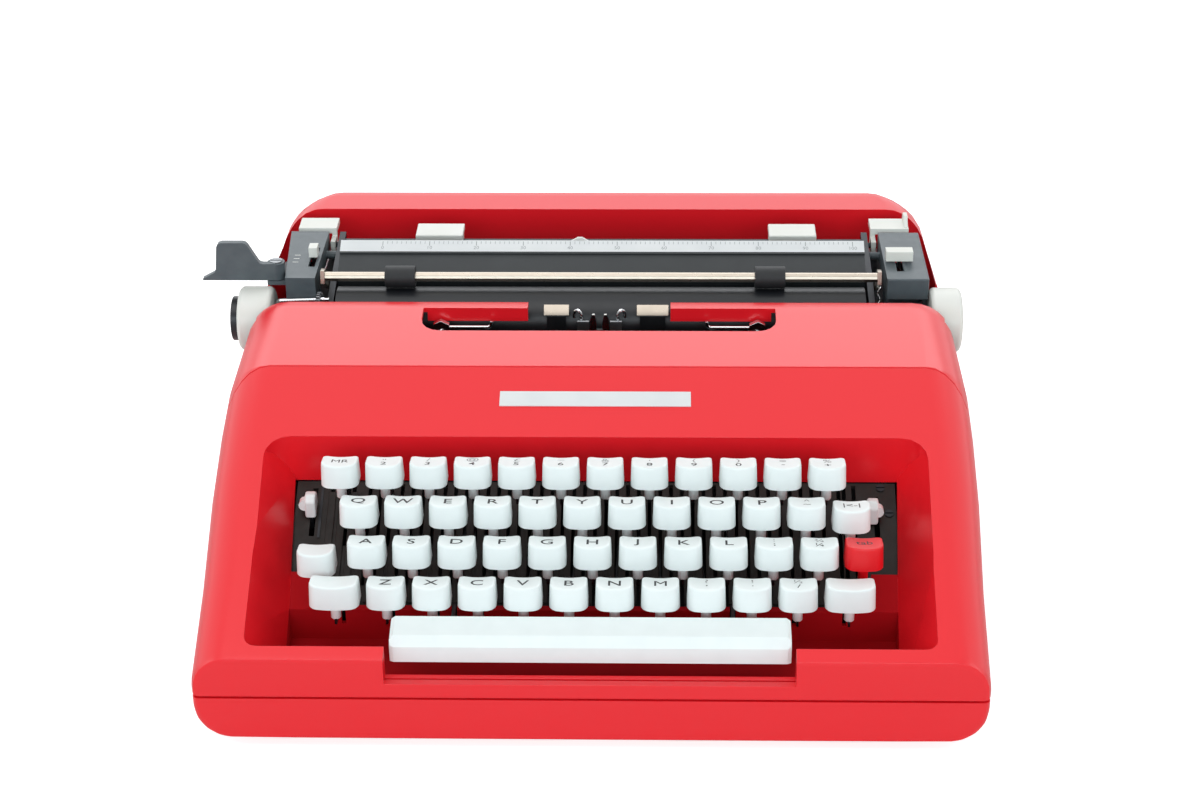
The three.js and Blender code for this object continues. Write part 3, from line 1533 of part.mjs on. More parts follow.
// A thumb tab on an arm that rocks on a pin in the end plate.
function releaseTabSolid(sx) {
  const r = releaseTab;
  const span = (a, b) => [sx * a, sx * b].sort((p, q) => p - q);
  const tab = box(...span(r.inner, r.outer), r.front, r.rear, r.top - r.thickness, r.top);
  const arm = prismX([
    [r.pinY - r.armWidth, r.pinZ - r.armWidth],
    [r.front + r.armWidth, r.pinZ - r.armWidth],
    [r.front + r.armWidth, r.top - r.thickness / 2],
    [r.front, r.top - r.thickness / 2],
    [r.front, r.pinZ + r.armWidth],
    [r.pinY - r.armWidth, r.pinZ + r.armWidth],
  ], ...span(r.inner, r.inner + r.armThickness));
  const bore = rodX(r.pinY, r.pinZ, r.pinRadius + clearance, -body.frontWidth, body.frontWidth, segments.pin);
  return tab.add(arm).subtract(bore);
}

function smallLeverSolid(sx, knobWidth) {
  const s = smallLever;
  const { x, y } = sx < 0 ? leftSmallLever : rightSmallLever;
  const half = s.thickness / 2;
  const bladeTop = s.knobTop - smallKnob.height / 2;
  const blade = box(x - half, x + half, y - s.radius, y + s.radius, s.pivotZ - s.radius, bladeTop);
  const knob = box(x - knobWidth / 2, x + knobWidth / 2, y - s.knobDepth / 2, y + s.knobDepth / 2,
    s.knobTop - smallKnob.height, s.knobTop);
  const e = endCover;
  const outer = sx < 0 ? e.frontOuterLeft : e.outer;
  const xs = [sx * (e.inner + e.wall + clearance), sx * (outer - e.wall - clearance)].sort((a, b) => a - b);
  return blade.add(knob).add(rodX(y, s.pivotZ, s.radius, ...xs, segments.pin));
}

// Small levers that stand in the mask

function maskTop(y) {
  return maskPlaneAt(y) - well.plate - clearance;
}

function maskLever({ x, width, y, length, height, tail, tailLength }) {
  const base = (place) => maskTop(place) + clearance;
  const outline = [
    [y - length / 2, base(y - length / 2)],
    [y + length / 2, base(y + length / 2)],
    [y + length / 2, base(y + length / 2) + height * leverKnobShares.rear],
    [y + length / 4, base(y) + height],
    [y - length / 4, base(y) + height],
    [y - length / 2, base(y - length / 2) + height * leverKnobShares.front],
  ];
  const blade = box(x - tail / 2, x + tail / 2, y - length / 4, y + length / 4,
    base(y) - tailLength, base(y) + height / 2);
  return prismX(outline, x - width / 2, x + width / 2).add(blade);
}

// Assembly

const machine = new THREE.Group();

function add(name, solid, finish) {
  const material = new THREE.MeshStandardMaterial(finish);
  const mesh = new THREE.Mesh(toGeometry(solid), material);
  mesh.name = name;
  machine.add(mesh);
}

add('base_tray', baseTray(), red);
add('top_housing', topHousing(), red);
add('key_mask', keyMask(), darkGrey);
add('chassis_frame', chassisFrame(), steel);
add('ribbon_cover', ribbonCover(), red);
add('type_basket', typeBasket(), steel);
add('typebar', strikingTypebar(), steel);
add('ribbon_spool_left', ribbonSpool(-1), blackenedSteel);
add('ribbon_spool_right', ribbonSpool(1), blackenedSteel);

for (const key of typingKeys.filter(({ name }) => name !== null)) {
  add(`key_${key.name}`, keyWithLever(key), keyWhite);
}
add('figure_and_sign_keys', figureAndSignKeys(), keyWhite);
add('backspace_key', keyWithLever(specialKeys.backspace), keyWhite);
add('tab_key', keyWithLever(specialKeys.tab), tabRed);
add('shift_lock_key', keyWithLever(specialKeys.lock), keyWhite);
add('shift_keys', shiftKeys(), keyWhite);
add('space_bar', spaceBarSolid(), keyWhite);
add('touch_lever', maskLever(touchLever), keyWhite);
add('ribbon_colour_lever', maskLever(colourLever), keyWhite);

add('carriage_frame', carriageFrame(), steel);
add('end_cover_left', endCoverSolid(-1), darkGrey);
add('end_cover_right', endCoverSolid(1), darkGrey);
add('platen', platenSolid(), black);
add('platen_knob_left', knobSolid(-1), keyWhite);
add('platen_knob_right', knobSolid(1), keyWhite);
add('paper_table', paperTable(), darkGrey);
add('margin_stop_left', marginStopSolid(marginStop.left), keyWhite);
add('margin_stop_right', marginStopSolid(marginStop.right), keyWhite);
add('paper_bail', paperBail(), bright);
add('bail_roller_left', bailRoller(bail.leftRoller), black);
add('bail_roller_right', bailRoller(bail.rightRoller), black);
add('return_lever', returnLeverSolid(), black);
add('carriage_release_left', releaseTabSolid(-1), keyWhite);
add('carriage_release_right', releaseTabSolid(1), keyWhite);
add('line_space_lever', smallLeverSolid(-1, smallKnob.leftWidth), keyWhite);
add('paper_release_lever', smallLeverSolid(1, smallKnob.rightWidth), keyWhite);

const typewriter = new THREE.Group();
machine.position.set(-(returnLever.tip + platen.knobOuter) / 2, -body.depth / 2, 0);
typewriter.add(machine);

export default typewriter;
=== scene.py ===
"""Portable typewriter: mouldings, paint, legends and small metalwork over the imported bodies."""
import math

import bmesh
import bpy
from mathutils import Matrix, Vector


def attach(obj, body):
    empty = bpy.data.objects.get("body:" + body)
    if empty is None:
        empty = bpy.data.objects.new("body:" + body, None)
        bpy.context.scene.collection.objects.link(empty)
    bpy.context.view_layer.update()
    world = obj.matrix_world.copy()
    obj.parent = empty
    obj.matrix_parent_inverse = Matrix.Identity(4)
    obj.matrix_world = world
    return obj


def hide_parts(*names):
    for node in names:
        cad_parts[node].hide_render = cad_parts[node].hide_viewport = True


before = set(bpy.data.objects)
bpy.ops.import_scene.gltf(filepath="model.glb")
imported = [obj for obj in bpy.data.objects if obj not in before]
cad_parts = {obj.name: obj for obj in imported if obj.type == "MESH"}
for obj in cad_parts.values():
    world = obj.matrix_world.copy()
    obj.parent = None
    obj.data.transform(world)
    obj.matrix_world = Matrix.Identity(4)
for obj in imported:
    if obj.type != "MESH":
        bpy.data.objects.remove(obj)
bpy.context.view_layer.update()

MM = 0.001

# Where the drawing's origin lies in the frame, in mm
SHIFT = Vector((9.2, -169.0, 0.0))


def at(x, y, z):
    """A drawing point in mm: x from the keyboard's middle, y from the front face, z from the table."""
    return (Vector((x, y, z)) + SHIFT) * MM


def drawn(point):
    """The drawing point, in mm, of a place in the frame."""
    return point / MM - SHIFT


# Sizes of the drawing, in mm

PITCH = 19.05
ROW_DEPTH = 17.66
ROW_RISE = 9.11
FIRST_X = -109.3
FRONT_ROW_BACK = 40.5
FRONT_ROW_TOP = 59.4
STAGGER = (0.0, 0.5, 0.75, 1.25)
CAP = {"width": 16.2, "wide": 20.9, "depth": 12.0, "height": 9.6, "taper": 0.8, "tilt": 9.0,
       "dish": 1.0, "corner": 3.4, "back_corner": 2.0, "bow": 1.5, "edge": 0.8}
STEM = {"radius": 2.15, "length": 8.2, "sides": 18, "seat": 2.25, "foot_radius": 0.6, "rounding": 0.45,
        "rounding_rise": 0.5, "into_cap": 0.4}
ARM_HALF = 0.51
DECK = ((3.0, 44.3), (153.5, 99.0))
MASK = {"rear": 113.3, "rear_top": 61.7, "slope": ROW_RISE / ROW_DEPTH}

# Vertices closer than this are one, and faces flatter to each other than this, in degrees, are one
DOUBLES = 0.002
FLAT = 0.05

# Height of a capital as a share of the lettering's size
CAPITAL_SHARE = 0.7


def deck_height(y):
    """Height of the sloping deck at this y."""
    (y0, z0), (y1, z1) = DECK
    return z0 + (z1 - z0) * (y - y0) / (y1 - y0)


def mask_height(y):
    """Height of the key mask's face at this y."""
    return MASK["rear_top"] - (MASK["rear"] - y) * MASK["slope"]


def on_mask(x, y, rise=0.0):
    """A point of the mask's face, or this far over it."""
    return (x, y, mask_height(y) + rise)


# Materials

# The part of a noise's range that a drift of colour, or of roughness, runs through
COLOUR_SPAN = (0.2, 0.8)
WEAR_SPAN = (0.15, 0.85)


def linear(hex_colour):
    """sRGB hex to the linear colour the shader wants."""
    parts = [int(hex_colour[i:i + 2], 16) / 255 for i in (1, 3, 5)]
    return [p / 12.92 if p <= 0.04045 else ((p + 0.055) / 1.055) ** 2.4 for p in parts] + [1.0]


def add(tree, kind, inputs=None, **settings):
    """Adds a node, sets it up and links what its inputs name."""
    node = tree.nodes.new(kind)
    for key, value in settings.items():
        setattr(node, key, value)
    for key, value in (inputs or {}).items():
        socket = node.inputs[key]
        if isinstance(value, bpy.types.NodeSocket):
            tree.links.new(value, socket)
        else:
            socket.default_value = value
    return node


def finish_of(name, colour, roughness, metallic=0.0, ior=None):
    """A material with its tree, shader and Object coordinates, ready for its patterns."""
    material = bpy.data.materials.new(name)
    material.use_nodes = True
    tree = material.node_tree
    shader = tree.nodes["Principled BSDF"]
    shader.inputs["Base Color"].default_value = linear(colour)
    shader.inputs["Roughness"].default_value = roughness
    shader.inputs["Metallic"].default_value = metallic
    if ior:
        shader.inputs["IOR"].default_value = ior
    place = add(tree, "ShaderNodeTexCoord").outputs["Object"]
    return material, tree, shader, place


def per_mm(size):
    """Noise scale for a feature of this size in mm, on coordinates in metres."""
    return 1000.0 / size


def tint(tree, shader, place, size, low, high, detail=2.0):
    """Colour that drifts between two hex values over patches of a size in mm."""
    noise = add(tree, "ShaderNodeTexNoise", {"Vector": place, "Scale": per_mm(size), "Detail": detail})
    ramp = add(tree, "ShaderNodeValToRGB", {"Fac": noise.outputs["Fac"]})
    first, last = ramp.color_ramp.elements
    first.position, last.position = COLOUR_SPAN
    first.color, last.color = linear(low), linear(high)
    tree.links.new(ramp.outputs["Color"], shader.inputs["Base Color"])


def roughen(tree, shader, place, size, low, high):
    """Roughness that drifts over patches of a size in mm, as handling leaves it."""
    least, most = WEAR_SPAN
    noise = add(tree, "ShaderNodeTexNoise", {"Vector": place, "Scale": per_mm(size), "Detail": 3.0})
    spread = add(tree, "ShaderNodeMapRange", {
        "Value": noise.outputs["Fac"], "From Min": least, "From Max": most, "To Min": low, "To Max": high})
    tree.links.new(spread.outputs["Result"], shader.inputs["Roughness"])


def emboss(tree, shader, pattern, strength, height):
    """Relief from a pattern, its height in mm."""
    bump = add(tree, "ShaderNodeBump", {
        "Height": pattern.outputs["Fac"], "Strength": strength, "Distance": height * MM})
    tree.links.new(bump.outputs["Normal"], shader.inputs["Normal"])


def grain(tree, shader, place, size, strength, height, stretch=(1.0, 1.0, 1.0)):
    """Fine relief of a size in mm; stretch draws it out for brushed or turned metal."""
    mapped = add(tree, "ShaderNodeMapping", {"Vector": place, "Scale": stretch})
    noise = add(tree, "ShaderNodeTexNoise", {
        "Vector": mapped.outputs["Vector"], "Scale": per_mm(size), "Detail": 3.0})
    emboss(tree, shader, noise, strength, height)


def red_abs():
    """Glossy moulded ABS: one saturated red, its soft gloss just broken by a fine orange peel."""
    material, *surface = finish_of("red_moulded_abs", "#EC1B26", 0.28, ior=1.52)
    grain(*surface, 1.4, 0.06, 0.01)
    return material


def painted_shade_red_abs():
    """The same ABS down in the key tub, matt, with its red darkened as painted shade."""
    material, *surface = finish_of("tub_red_with_painted_shade", "#B01019", 0.8, ior=1.2)
    grain(*surface, 0.8, 0.1, 0.01)
    return material


def key_abs(name, colour, drift):
    """Satin moulded ABS of the keys, with the faint upright flutes of its mould on every face."""
    material, tree, shader, place = finish_of(name, colour, 0.4, ior=1.5)
    tint(tree, shader, place, 9.0, drift, colour)
    flutes = add(tree, "ShaderNodeTexWave", {"Vector": place, "Scale": per_mm(20.0), "Distortion": 0.0},
                 wave_type="BANDS", bands_direction="X")
    emboss(tree, shader, flutes, 0.10, 0.05)
    return material


def white_abs():
    """Plain off-white ABS of knobs and tabs, a little yellowed where it is handled."""
    material, *surface = finish_of("off_white_abs", "#E6E7E1", 0.38, ior=1.5)
    tint(*surface, 18.0, "#E1E2D9", "#EAEBE6")
    grain(*surface, 0.7, 0.12, 0.01)
    return material


def crackle_grey():
    """Dark grey stove enamel on pressed steel: satin, with a fine sandy tooth."""
    material, *surface = finish_of("dark_grey_stove_enamel", "#515A5E", 0.42)
    tint(*surface, 7.0, "#4A5358", "#586165")
    roughen(*surface, 6.0, 0.36, 0.5)
    grain(*surface, 0.5, 0.3, 0.02)
    return material


def satin_table_paint():
    """Near-black satin paint of the paper table: a soft, low sheen and a faint dusty drift."""
    material, *surface = finish_of("near_black_satin_paint", "#24282A", 0.5)
    tint(*surface, 14.0, "#202426", "#292D2F")
    grain(*surface, 0.6, 0.2, 0.015)
    return material


def black_painted_shade_lining():
    """Near-black lining inside the case, a painted shade for its dark inside: fibrous, matt and very dark."""
    material, *surface = finish_of("black_lining_painted_shade", "#121113", 0.95)
    tint(*surface, 2.0, "#0E0D0F", "#171618", 5.0)
    grain(*surface, 0.5, 0.5, 0.12)
    return material


def mask_enamel():
    """Brown-black enamel of the key mask, scuffed paler by dust and fingers."""
    material, *surface = finish_of("brown_black_enamel", "#1E1A17", 0.55, ior=1.33)
    tint(*surface, 12.0, "#191613", "#28221E", 4.0)
    roughen(*surface, 5.0, 0.35, 0.6)
    grain(*surface, 0.6, 0.25, 0.02)
    return material


def platen_rubber():
    """Hard black platen rubber: ground true, so its gloss is low and even, with faint turning marks."""
    material, *surface = finish_of("ground_black_rubber", "#131519", 0.38, ior=1.52)
    roughen(*surface, 4.0, 0.33, 0.44)
    grain(*surface, 0.8, 0.15, 0.01, (6.0, 1.0, 1.0))
    return material


def soft_rubber():
    """Soft moulded rubber of feet and bail rollers: nearly matt."""
    material, *surface = finish_of("soft_black_rubber", "#1A1B1D", 0.62, ior=1.52)
    tint(*surface, 3.0, "#17181A", "#1E2022")
    grain(*surface, 0.4, 0.3, 0.015)
    return material


def brushed_nickel():
    """Satin nickel on the bail bar, brushed along its length."""
    material, *surface = finish_of("brushed_nickel_plate", "#BCB1A3", 0.3, 1.0)
    roughen(*surface, 3.0, 0.24, 0.36)
    grain(*surface, 0.35, 0.2, 0.006, (0.04, 1.0, 1.0))
    return material


def bright_chrome():
    """Chromium plate on guides and wires: bright, with soft ripples from the pressing below."""
    material, *surface = finish_of("chromium_plate", "#E2E3E4", 0.14, 1.0)
    grain(*surface, 2.5, 0.12, 0.01)
    return material


def zinc_steel():
    """Zinc-plated steel of the frame and end plates: dull silver with a cloudy spangle."""
    material, *surface = finish_of("zinc_plated_steel", "#8E9092", 0.4, 1.0)
    tint(*surface, 4.0, "#85878A", "#9A9C9E", 4.0)
    roughen(*surface, 2.5, 0.32, 0.5)
    grain(*surface, 0.6, 0.1, 0.01)
    return material


def black_oxide():
    """Black-oxide steel of key levers and spools: near black with a dull metal sheen."""
    material, *surface = finish_of("black_oxide_steel", "#2A2B2E", 0.42, 0.7)
    tint(*surface, 5.0, "#242528", "#323437")
    grain(*surface, 0.5, 0.12, 0.01)
    return material


def plate_enamel():
    """White enamelled aluminium of the bare name plate and the paper scale."""
    material, *surface = finish_of("white_enamelled_aluminium", "#E0E2E2", 0.3, ior=1.5)
    tint(*surface, 16.0, "#DADDDE", "#E5E7E7")
    grain(*surface, 1.2, 0.08, 0.008)
    return material


def ink(name, colour):
    """Filled lettering: matt ink flush with the moulding."""
    material, *surface = finish_of(name, colour, 0.55)
    grain(*surface, 0.3, 0.1, 0.005)
    return material


RED = red_abs()
# The key tub's red: matt, and darkened as painted shade
PAINTED_SHADE_RED = painted_shade_red_abs()
KEY_WHITE = key_abs("white_key_abs", "#EFF6F5", "#EAF1F0")
KEY_RED = key_abs("red_key_abs", "#E8121E", "#E00F1A")
WHITE = white_abs()
GREY = crackle_grey()
MASK_BLACK = mask_enamel()
PLATEN_BLACK = platen_rubber()
RUBBER = soft_rubber()
NICKEL = brushed_nickel()
CHROME = bright_chrome()
ZINC = zinc_steel()
OXIDE = black_oxide()
PLATE = plate_enamel()
INK = ink("black_legend_ink", "#1B1C1E")
GREY_INK = ink("grey_legend_ink", "#9EA1A2")
TABLE_PAINT = satin_table_paint()
# A black lining for the tray's inside, as painted shade
SHADE_LINING = black_painted_shade_lining()


# Making and placing pieces

def piece(name, bm, body, slot, *materials):
    """A finished mesh from bmesh geometry already in its place, riding on its body."""
    mesh = bpy.data.meshes.new(name)
    bm.to_mesh(mesh)
    bm.free()
    return piece_of(name, mesh, body, slot, *materials)


def piece_of(name, mesh, body, slot, *materials):
    """The same from a mesh that is ready."""
    obj = bpy.data.objects.new(name, mesh)
    bpy.context.scene.collection.objects.link(obj)
    for material in materials:
        mesh.materials.append(material)
    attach(obj, body)
    return obj


def soften(obj, width, segments=2, angle=35.0):
    """Rounded edges and smooth faces, as a moulding or a deburred pressing has."""
    obj.data.shade_smooth()
    obj.data.set_sharp_from_angle(angle=math.radians(angle))
    if width:
        bevel = obj.modifiers.new("edge_rounding", "BEVEL")
        bevel.width = width * MM
        bevel.segments = segments
        bevel.limit_method = "ANGLE"
        bevel.angle_limit = math.radians(angle)
        bevel.harden_normals = True
        bevel.use_clamp_overlap = True
    even = obj.modifiers.new("even_shading", "WEIGHTED_NORMAL")
    even.keep_sharp = True
    even.weight = 80
    return obj


def merged_copy(node):
    """The node's own mesh with its doubles merged and its flat faces joined."""
    bm = bmesh.new()
    bm.from_mesh(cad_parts[node].data)
    bmesh.ops.remove_doubles(bm, verts=bm.verts, dist=DOUBLES * MM)
    bmesh.ops.dissolve_limit(bm, angle_limit=math.radians(FLAT), verts=bm.verts, edges=bm.edges)
    return bm


def dressed(name, node, body, slot, material, width=0.35, segments=2, angle=35.0, others=(), shape=None):
    """A smooth-edged copy of a CAD node that stands for it. others: (material, test of a face) pairs;
    shape, if given, works on the copy first."""
    bm = merged_copy(node)
    if shape:
        shape(bm)
    for face in bm.faces:
        centre = drawn(face.calc_center_median())
        for index, (_, test) in enumerate(others, 1):
            if test(centre, face.normal):
                face.material_index = index
    obj = piece(name, bm, body, slot, material, *[other for other, _ in others])
    soften(obj, width, segments, angle)
    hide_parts(node)


def repaint(node, material):
    """Puts the real material on a CAD node that shows as it is."""
    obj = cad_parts[node]
    obj.data.materials.clear()
    obj.data.materials.append(material)


def skin(bm, rings):
    """Faces between each ring of vertices and the next."""
    for first, second in zip(rings, rings[1:]):
        for k in range(len(first)):
            after = (k + 1) % len(first)
            bm.faces.new((first[k], first[after], second[after], second[k]))


def close_rings(bm, rings):
    """A solid skinned over rings of vertices, its two ends closed."""
    skin(bm, rings)
    bm.faces.new(rings[0])
    bm.faces.new(rings[-1])
    bmesh.ops.recalc_face_normals(bm, faces=bm.faces)


def rounded_path(corners, bend, steps):
    """The corners of a bent wire, each turned into an arc of about this radius."""
    points = [Vector(corners[0])]
    for before, here, after in zip(corners, corners[1:], corners[2:]):
        before, here, after = Vector(before), Vector(here), Vector(after)
        reach = min(bend, (before - here).length / 2, (after - here).length / 2)
        start = here + (before - here).normalized() * reach
        end = here + (after - here).normalized() * reach
        for k in range(steps + 1):
            t = k / steps
            points.append(start * (1 - t) ** 2 + here * 2 * t * (1 - t) + end * t ** 2)
    points.append(Vector(corners[-1]))
    return points


def wire(bm, corners, bend, radius, sides, steps=5):
    """A round wire bent at these corners."""
    points = [at(*p) for p in rounded_path(corners, bend, steps)]
    rings = []
    for i, point in enumerate(points):
        along = (points[min(i + 1, len(points) - 1)] - points[max(i - 1, 0)]).normalized()
        side = along.cross(Vector((0.0, 0.0, 1.0)))
        if side.length < 0.1:
            side = along.cross(Vector((0.0, 1.0, 0.0)))
        side.normalize()
        over = side.cross(along).normalized()
        rings.append([bm.verts.new(point + (side * math.cos(a) + over * math.sin(a)) * radius * MM)
                      for a in (2 * math.pi * k / sides for k in range(sides))])
    close_rings(bm, rings)


def across(axis, u, v, w):
    """Coordinates of a place u, v across an axis and w along it."""
    return {"x": (w, u, v), "y": (u, w, v), "z": (u, v, w)}[axis]


def oblong(u0, v0, u1, v1):
    """Outline of a rectangle between two opposite corners."""
    return [(u0, v0), (u1, v0), (u1, v1), (u0, v1)]


def slab(bm, outline, axis, low, high):
    """A flat plate: an outline in the two other axes, between two places along this one."""
    close_rings(bm, [[bm.verts.new(at(*across(axis, u, v, w))) for u, v in outline] for w in (low, high)])


def strip(bm, path, thickness, low, high):
    """A bent strip: a path in (y, z), this thick, between two x places."""
    left, right = [], []
    for i, (y, z) in enumerate(path):
        y0, z0 = path[max(i - 1, 0)]
        y1, z1 = path[min(i + 1, len(path) - 1)]
        length = math.hypot(y1 - y0, z1 - z0)
        ny, nz = -(z1 - z0) / length * thickness / 2, (y1 - y0) / length * thickness / 2
        left.append((y + ny, z + nz))
        right.append((y - ny, z - nz))
    slab(bm, left + right[::-1], "x", low, high)


def disc(bm, centre, radius, height, axis, sides, bevel):
    """A turned disc that stands along a drawing axis, its outer edge bevelled."""
    rings = []
    for r, h in ((radius, 0.0), (radius, height - bevel), (radius - bevel, height)):
        ring = []
        for a in (2 * math.pi * k / sides for k in range(sides)):
            offset = across(axis, r * math.cos(a), r * math.sin(a), h)
            ring.append(bm.verts.new(at(*[c + o for c, o in zip(centre, offset)])))
        rings.append(ring)
    close_rings(bm, rings)


def built(name, body, slot, material, shapes, width=None, segments=2):
    """A piece of simple shapes: each is its function and what it takes after bm. A width softens it."""
    bm = bmesh.new()
    for shape, *sizes in shapes:
        shape(bm, *sizes)
    obj = piece(name, bm, body, slot, material)
    return obj if width is None else soften(obj, width, segments)


# Geometry Nodes: rows, rings and scattered fasteners

def new_tree(name, sizes):
    """A geometry tree with named size inputs; returns the tree, its group input and each socket's key."""
    tree = bpy.data.node_groups.new(name, "GeometryNodeTree")
    keys = {}
    tree.interface.new_socket("Geometry", in_out="INPUT", socket_type="NodeSocketGeometry")
    for label, kind in sizes:
        keys[label] = tree.interface.new_socket(label, in_out="INPUT", socket_type=kind).identifier
    tree.interface.new_socket("Geometry", in_out="OUTPUT", socket_type="NodeSocketGeometry")
    return tree, add(tree, "NodeGroupInput"), keys


def copies(tree, points, shape, turn):
    """Instances of a shape on points, each turned."""
    return add(tree, "GeometryNodeInstanceOnPoints", {
        "Points": points, "Instance": shape.outputs["Mesh"],
        "Rotation": turn.outputs["Rotation"]}).outputs["Instances"]


def close_tree(tree, geometry, material):
    """Ends a tree: real geometry in one material."""
    real = add(tree, "GeometryNodeRealizeInstances", {"Geometry": geometry})
    painted = add(tree, "GeometryNodeSetMaterial", {"Geometry": real.outputs["Geometry"]})
    painted.inputs["Material"].default_value = material
    add(tree, "NodeGroupOutput", {"Geometry": painted.outputs["Geometry"]})


def grown(name, start, tree, keys, values, body, slot, material):
    """Runs a tree, on a start mesh if there is one, and keeps the result as a plain piece."""
    obj = bpy.data.objects.new(name + "_start", start or bpy.data.meshes.new(name + "_start"))
    bpy.context.scene.collection.objects.link(obj)
    modifier = obj.modifiers.new("growth", "NODES")
    modifier.node_group = tree
    for label, value in values.items():
        modifier[keys[label]] = value
    bpy.context.view_layer.update()
    graph = bpy.context.evaluated_depsgraph_get()
    result = bpy.data.meshes.new_from_object(obj.evaluated_get(graph))
    result.materials.clear()
    obj.modifiers.clear()
    bpy.data.objects.remove(obj)
    return piece_of(name, result, body, slot, material)


def row_tree(material):
    """A row of equal bars: comb bars and scale ticks."""
    tree, group, keys = new_tree("row_of_bars_" + material.name, [
        ("Count", "NodeSocketInt"), ("Start", "NodeSocketVector"), ("Step", "NodeSocketVector"),
        ("Bar Size", "NodeSocketVector"), ("Slope", "NodeSocketFloat")])
    line = add(tree, "GeometryNodeMeshLine", {
        "Count": group.outputs["Count"], "Start Location": group.outputs["Start"],
        "Offset": group.outputs["Step"]})
    bar = add(tree, "GeometryNodeMeshCube", {"Size": group.outputs["Bar Size"]})
    turn = add(tree, "ShaderNodeCombineXYZ", {"X": group.outputs["Slope"]})
    turned = add(tree, "FunctionNodeEulerToRotation", {"Euler": turn.outputs["Vector"]})
    close_tree(tree, copies(tree, line.outputs["Mesh"], bar, turned), material)
    return tree, keys


def row_of_bars(name, count, start, step, size, slope, body, slot, material):
    """A piece of equal bars, from this start and by this step, tipped by the slope."""
    tree, keys = row_tree(material)
    values = {"Count": count, "Start": list(at(*start)), "Step": [v * MM for v in step],
              "Bar Size": [v * MM for v in size], "Slope": slope}
    return grown(name, None, tree, keys, values, body, slot, material)


def tooth_tree(material):
    """A ring of teeth round an axle along X: the line-space ratchet."""
    tree, group, keys = new_tree("ring_of_teeth", [
        ("Count", "NodeSocketInt"), ("Radius", "NodeSocketFloat"), ("Centre", "NodeSocketVector"),
        ("Tooth Size", "NodeSocketVector")])
    ring = add(tree, "GeometryNodeMeshCircle", {
        "Vertices": group.outputs["Count"], "Radius": group.outputs["Radius"]})
    tooth = add(tree, "GeometryNodeMeshCube", {"Size": group.outputs["Tooth Size"]})
    spot = add(tree, "GeometryNodeInputPosition")
    turn = add(tree, "FunctionNodeAlignRotationToVector", {"Vector": spot.outputs["Position"]}, axis="X")
    stood = add(tree, "GeometryNodeTransform", {
        "Geometry": copies(tree, ring.outputs["Mesh"], tooth, turn), "Translation": group.outputs["Centre"]})
    stood.inputs["Rotation"].default_value = (0.0, math.pi / 2, 0.0)
    close_tree(tree, stood.outputs["Geometry"], material)
    return tree, keys


def screw_tree(material):
    """Slotted screw heads on given points, all facing along one direction."""
    tree, group, keys = new_tree("slotted_screws_" + material.name, [
        ("Head Radius", "NodeSocketFloat"), ("Head Height", "NodeSocketFloat"),
        ("Slot Size", "NodeSocketVector"), ("Facing", "NodeSocketVector")])
    head = add(tree, "GeometryNodeMeshCylinder", {
        "Vertices": 20, "Radius": group.outputs["Head Radius"], "Depth": group.outputs["Head Height"]})
    slot = add(tree, "GeometryNodeMeshCube", {"Size": group.outputs["Slot Size"]})
    half = add(tree, "ShaderNodeMath", {0: group.outputs["Head Height"], 1: 0.5}, operation="MULTIPLY")
    lift = add(tree, "ShaderNodeCombineXYZ", {"Z": half.outputs["Value"]})
    raised = add(tree, "GeometryNodeTransform", {
        "Geometry": slot.outputs["Mesh"], "Translation": lift.outputs["Vector"]})
    cut = add(tree, "GeometryNodeMeshBoolean", {
        "Mesh 1": head.outputs["Mesh"], "Mesh 2": raised.outputs["Geometry"]}, operation="DIFFERENCE")
    turn = add(tree, "FunctionNodeAlignRotationToVector", {"Vector": group.outputs["Facing"]}, axis="Z")
    close_tree(tree, copies(tree, group.outputs["Geometry"], cut, turn), material)
    return tree, keys


def screws(name, spots, facing, radius, height, body, slot, material):
    """A piece of slotted screw heads on these spots."""
    start = bpy.data.meshes.new(name + "_points")
    start.from_pydata([at(*spot) for spot in spots], [], [])
    tree, keys = screw_tree(material)
    values = {"Head Radius": radius * MM, "Head Height": height * MM,
              "Slot Size": [radius * 3 * MM, radius * 0.35 * MM, height * MM], "Facing": list(facing)}
    obj = grown(name, start, tree, keys, values, body, slot, material)
    return soften(obj, 0.0)


# Body mouldings

TRAY = {"top": 25.1, "shadow_gap": 0.8, "feet_top": 3.9, "lined_walls": (5.0, 25.0), "lined_floor": 12.0,
        "corner_bends": (5.0, 32.0), "rounded_share": 27.0}
TUB = {"front": 7.5, "rear": 69.0, "half_width": 134.5, "over_mask": 6.0, "floor": 17.0}
BEND = {"start": 200.0, "length": 8.0, "cuts": 4, "drop": 1.2, "above": 90.0}


def faces_inward(centre, normal):
    """True on the inner faces of the tray, which carry the black lining of painted shade."""
    low, high = TRAY["lined_walls"]
    floor = normal.z > 0.5 and centre.z < TRAY["lined_floor"]
    wall = low < centre.z < high and normal.x * centre.x + normal.y * (centre.y + SHIFT.y) < -1.0
    return floor or (wall and abs(normal.z) < 0.7)


def in_the_tub(centre, normal):
    """True on the faces of the well under the key rows' plane, in front of the mask: these take the red
    darkened as painted shade.
    """
    inside = TUB["front"] < centre.y < TUB["rear"] and abs(centre.x) < TUB["half_width"]
    low = TUB["floor"] < centre.z < mask_height(centre.y) + TUB["over_mask"]
    return inside and low and normal.y < 0.99


def cut_across(bm, y):
    """Divides the faces that run from front to rear through this y."""
    parts = bm.verts[:] + bm.edges[:] + bm.faces[:]
    bmesh.ops.bisect_plane(bm, geom=parts, plane_co=at(0.0, y, 0.0), plane_no=(0.0, 1.0, 0.0))


def bend_rear_edge(bm):
    """Turns the cover's rear edge gently down, as the moulding does."""
    for k in range(BEND["cuts"]):
        cut_across(bm, BEND["start"] + BEND["length"] * k / BEND["cuts"])
    for vert in bm.verts:
        share = (vert.co.y / MM - SHIFT.y - BEND["start"]) / BEND["length"]
        if share > 0.0 and vert.co.z / MM > BEND["above"]:
            vert.co.z -= BEND["drop"] * share ** 2 * MM


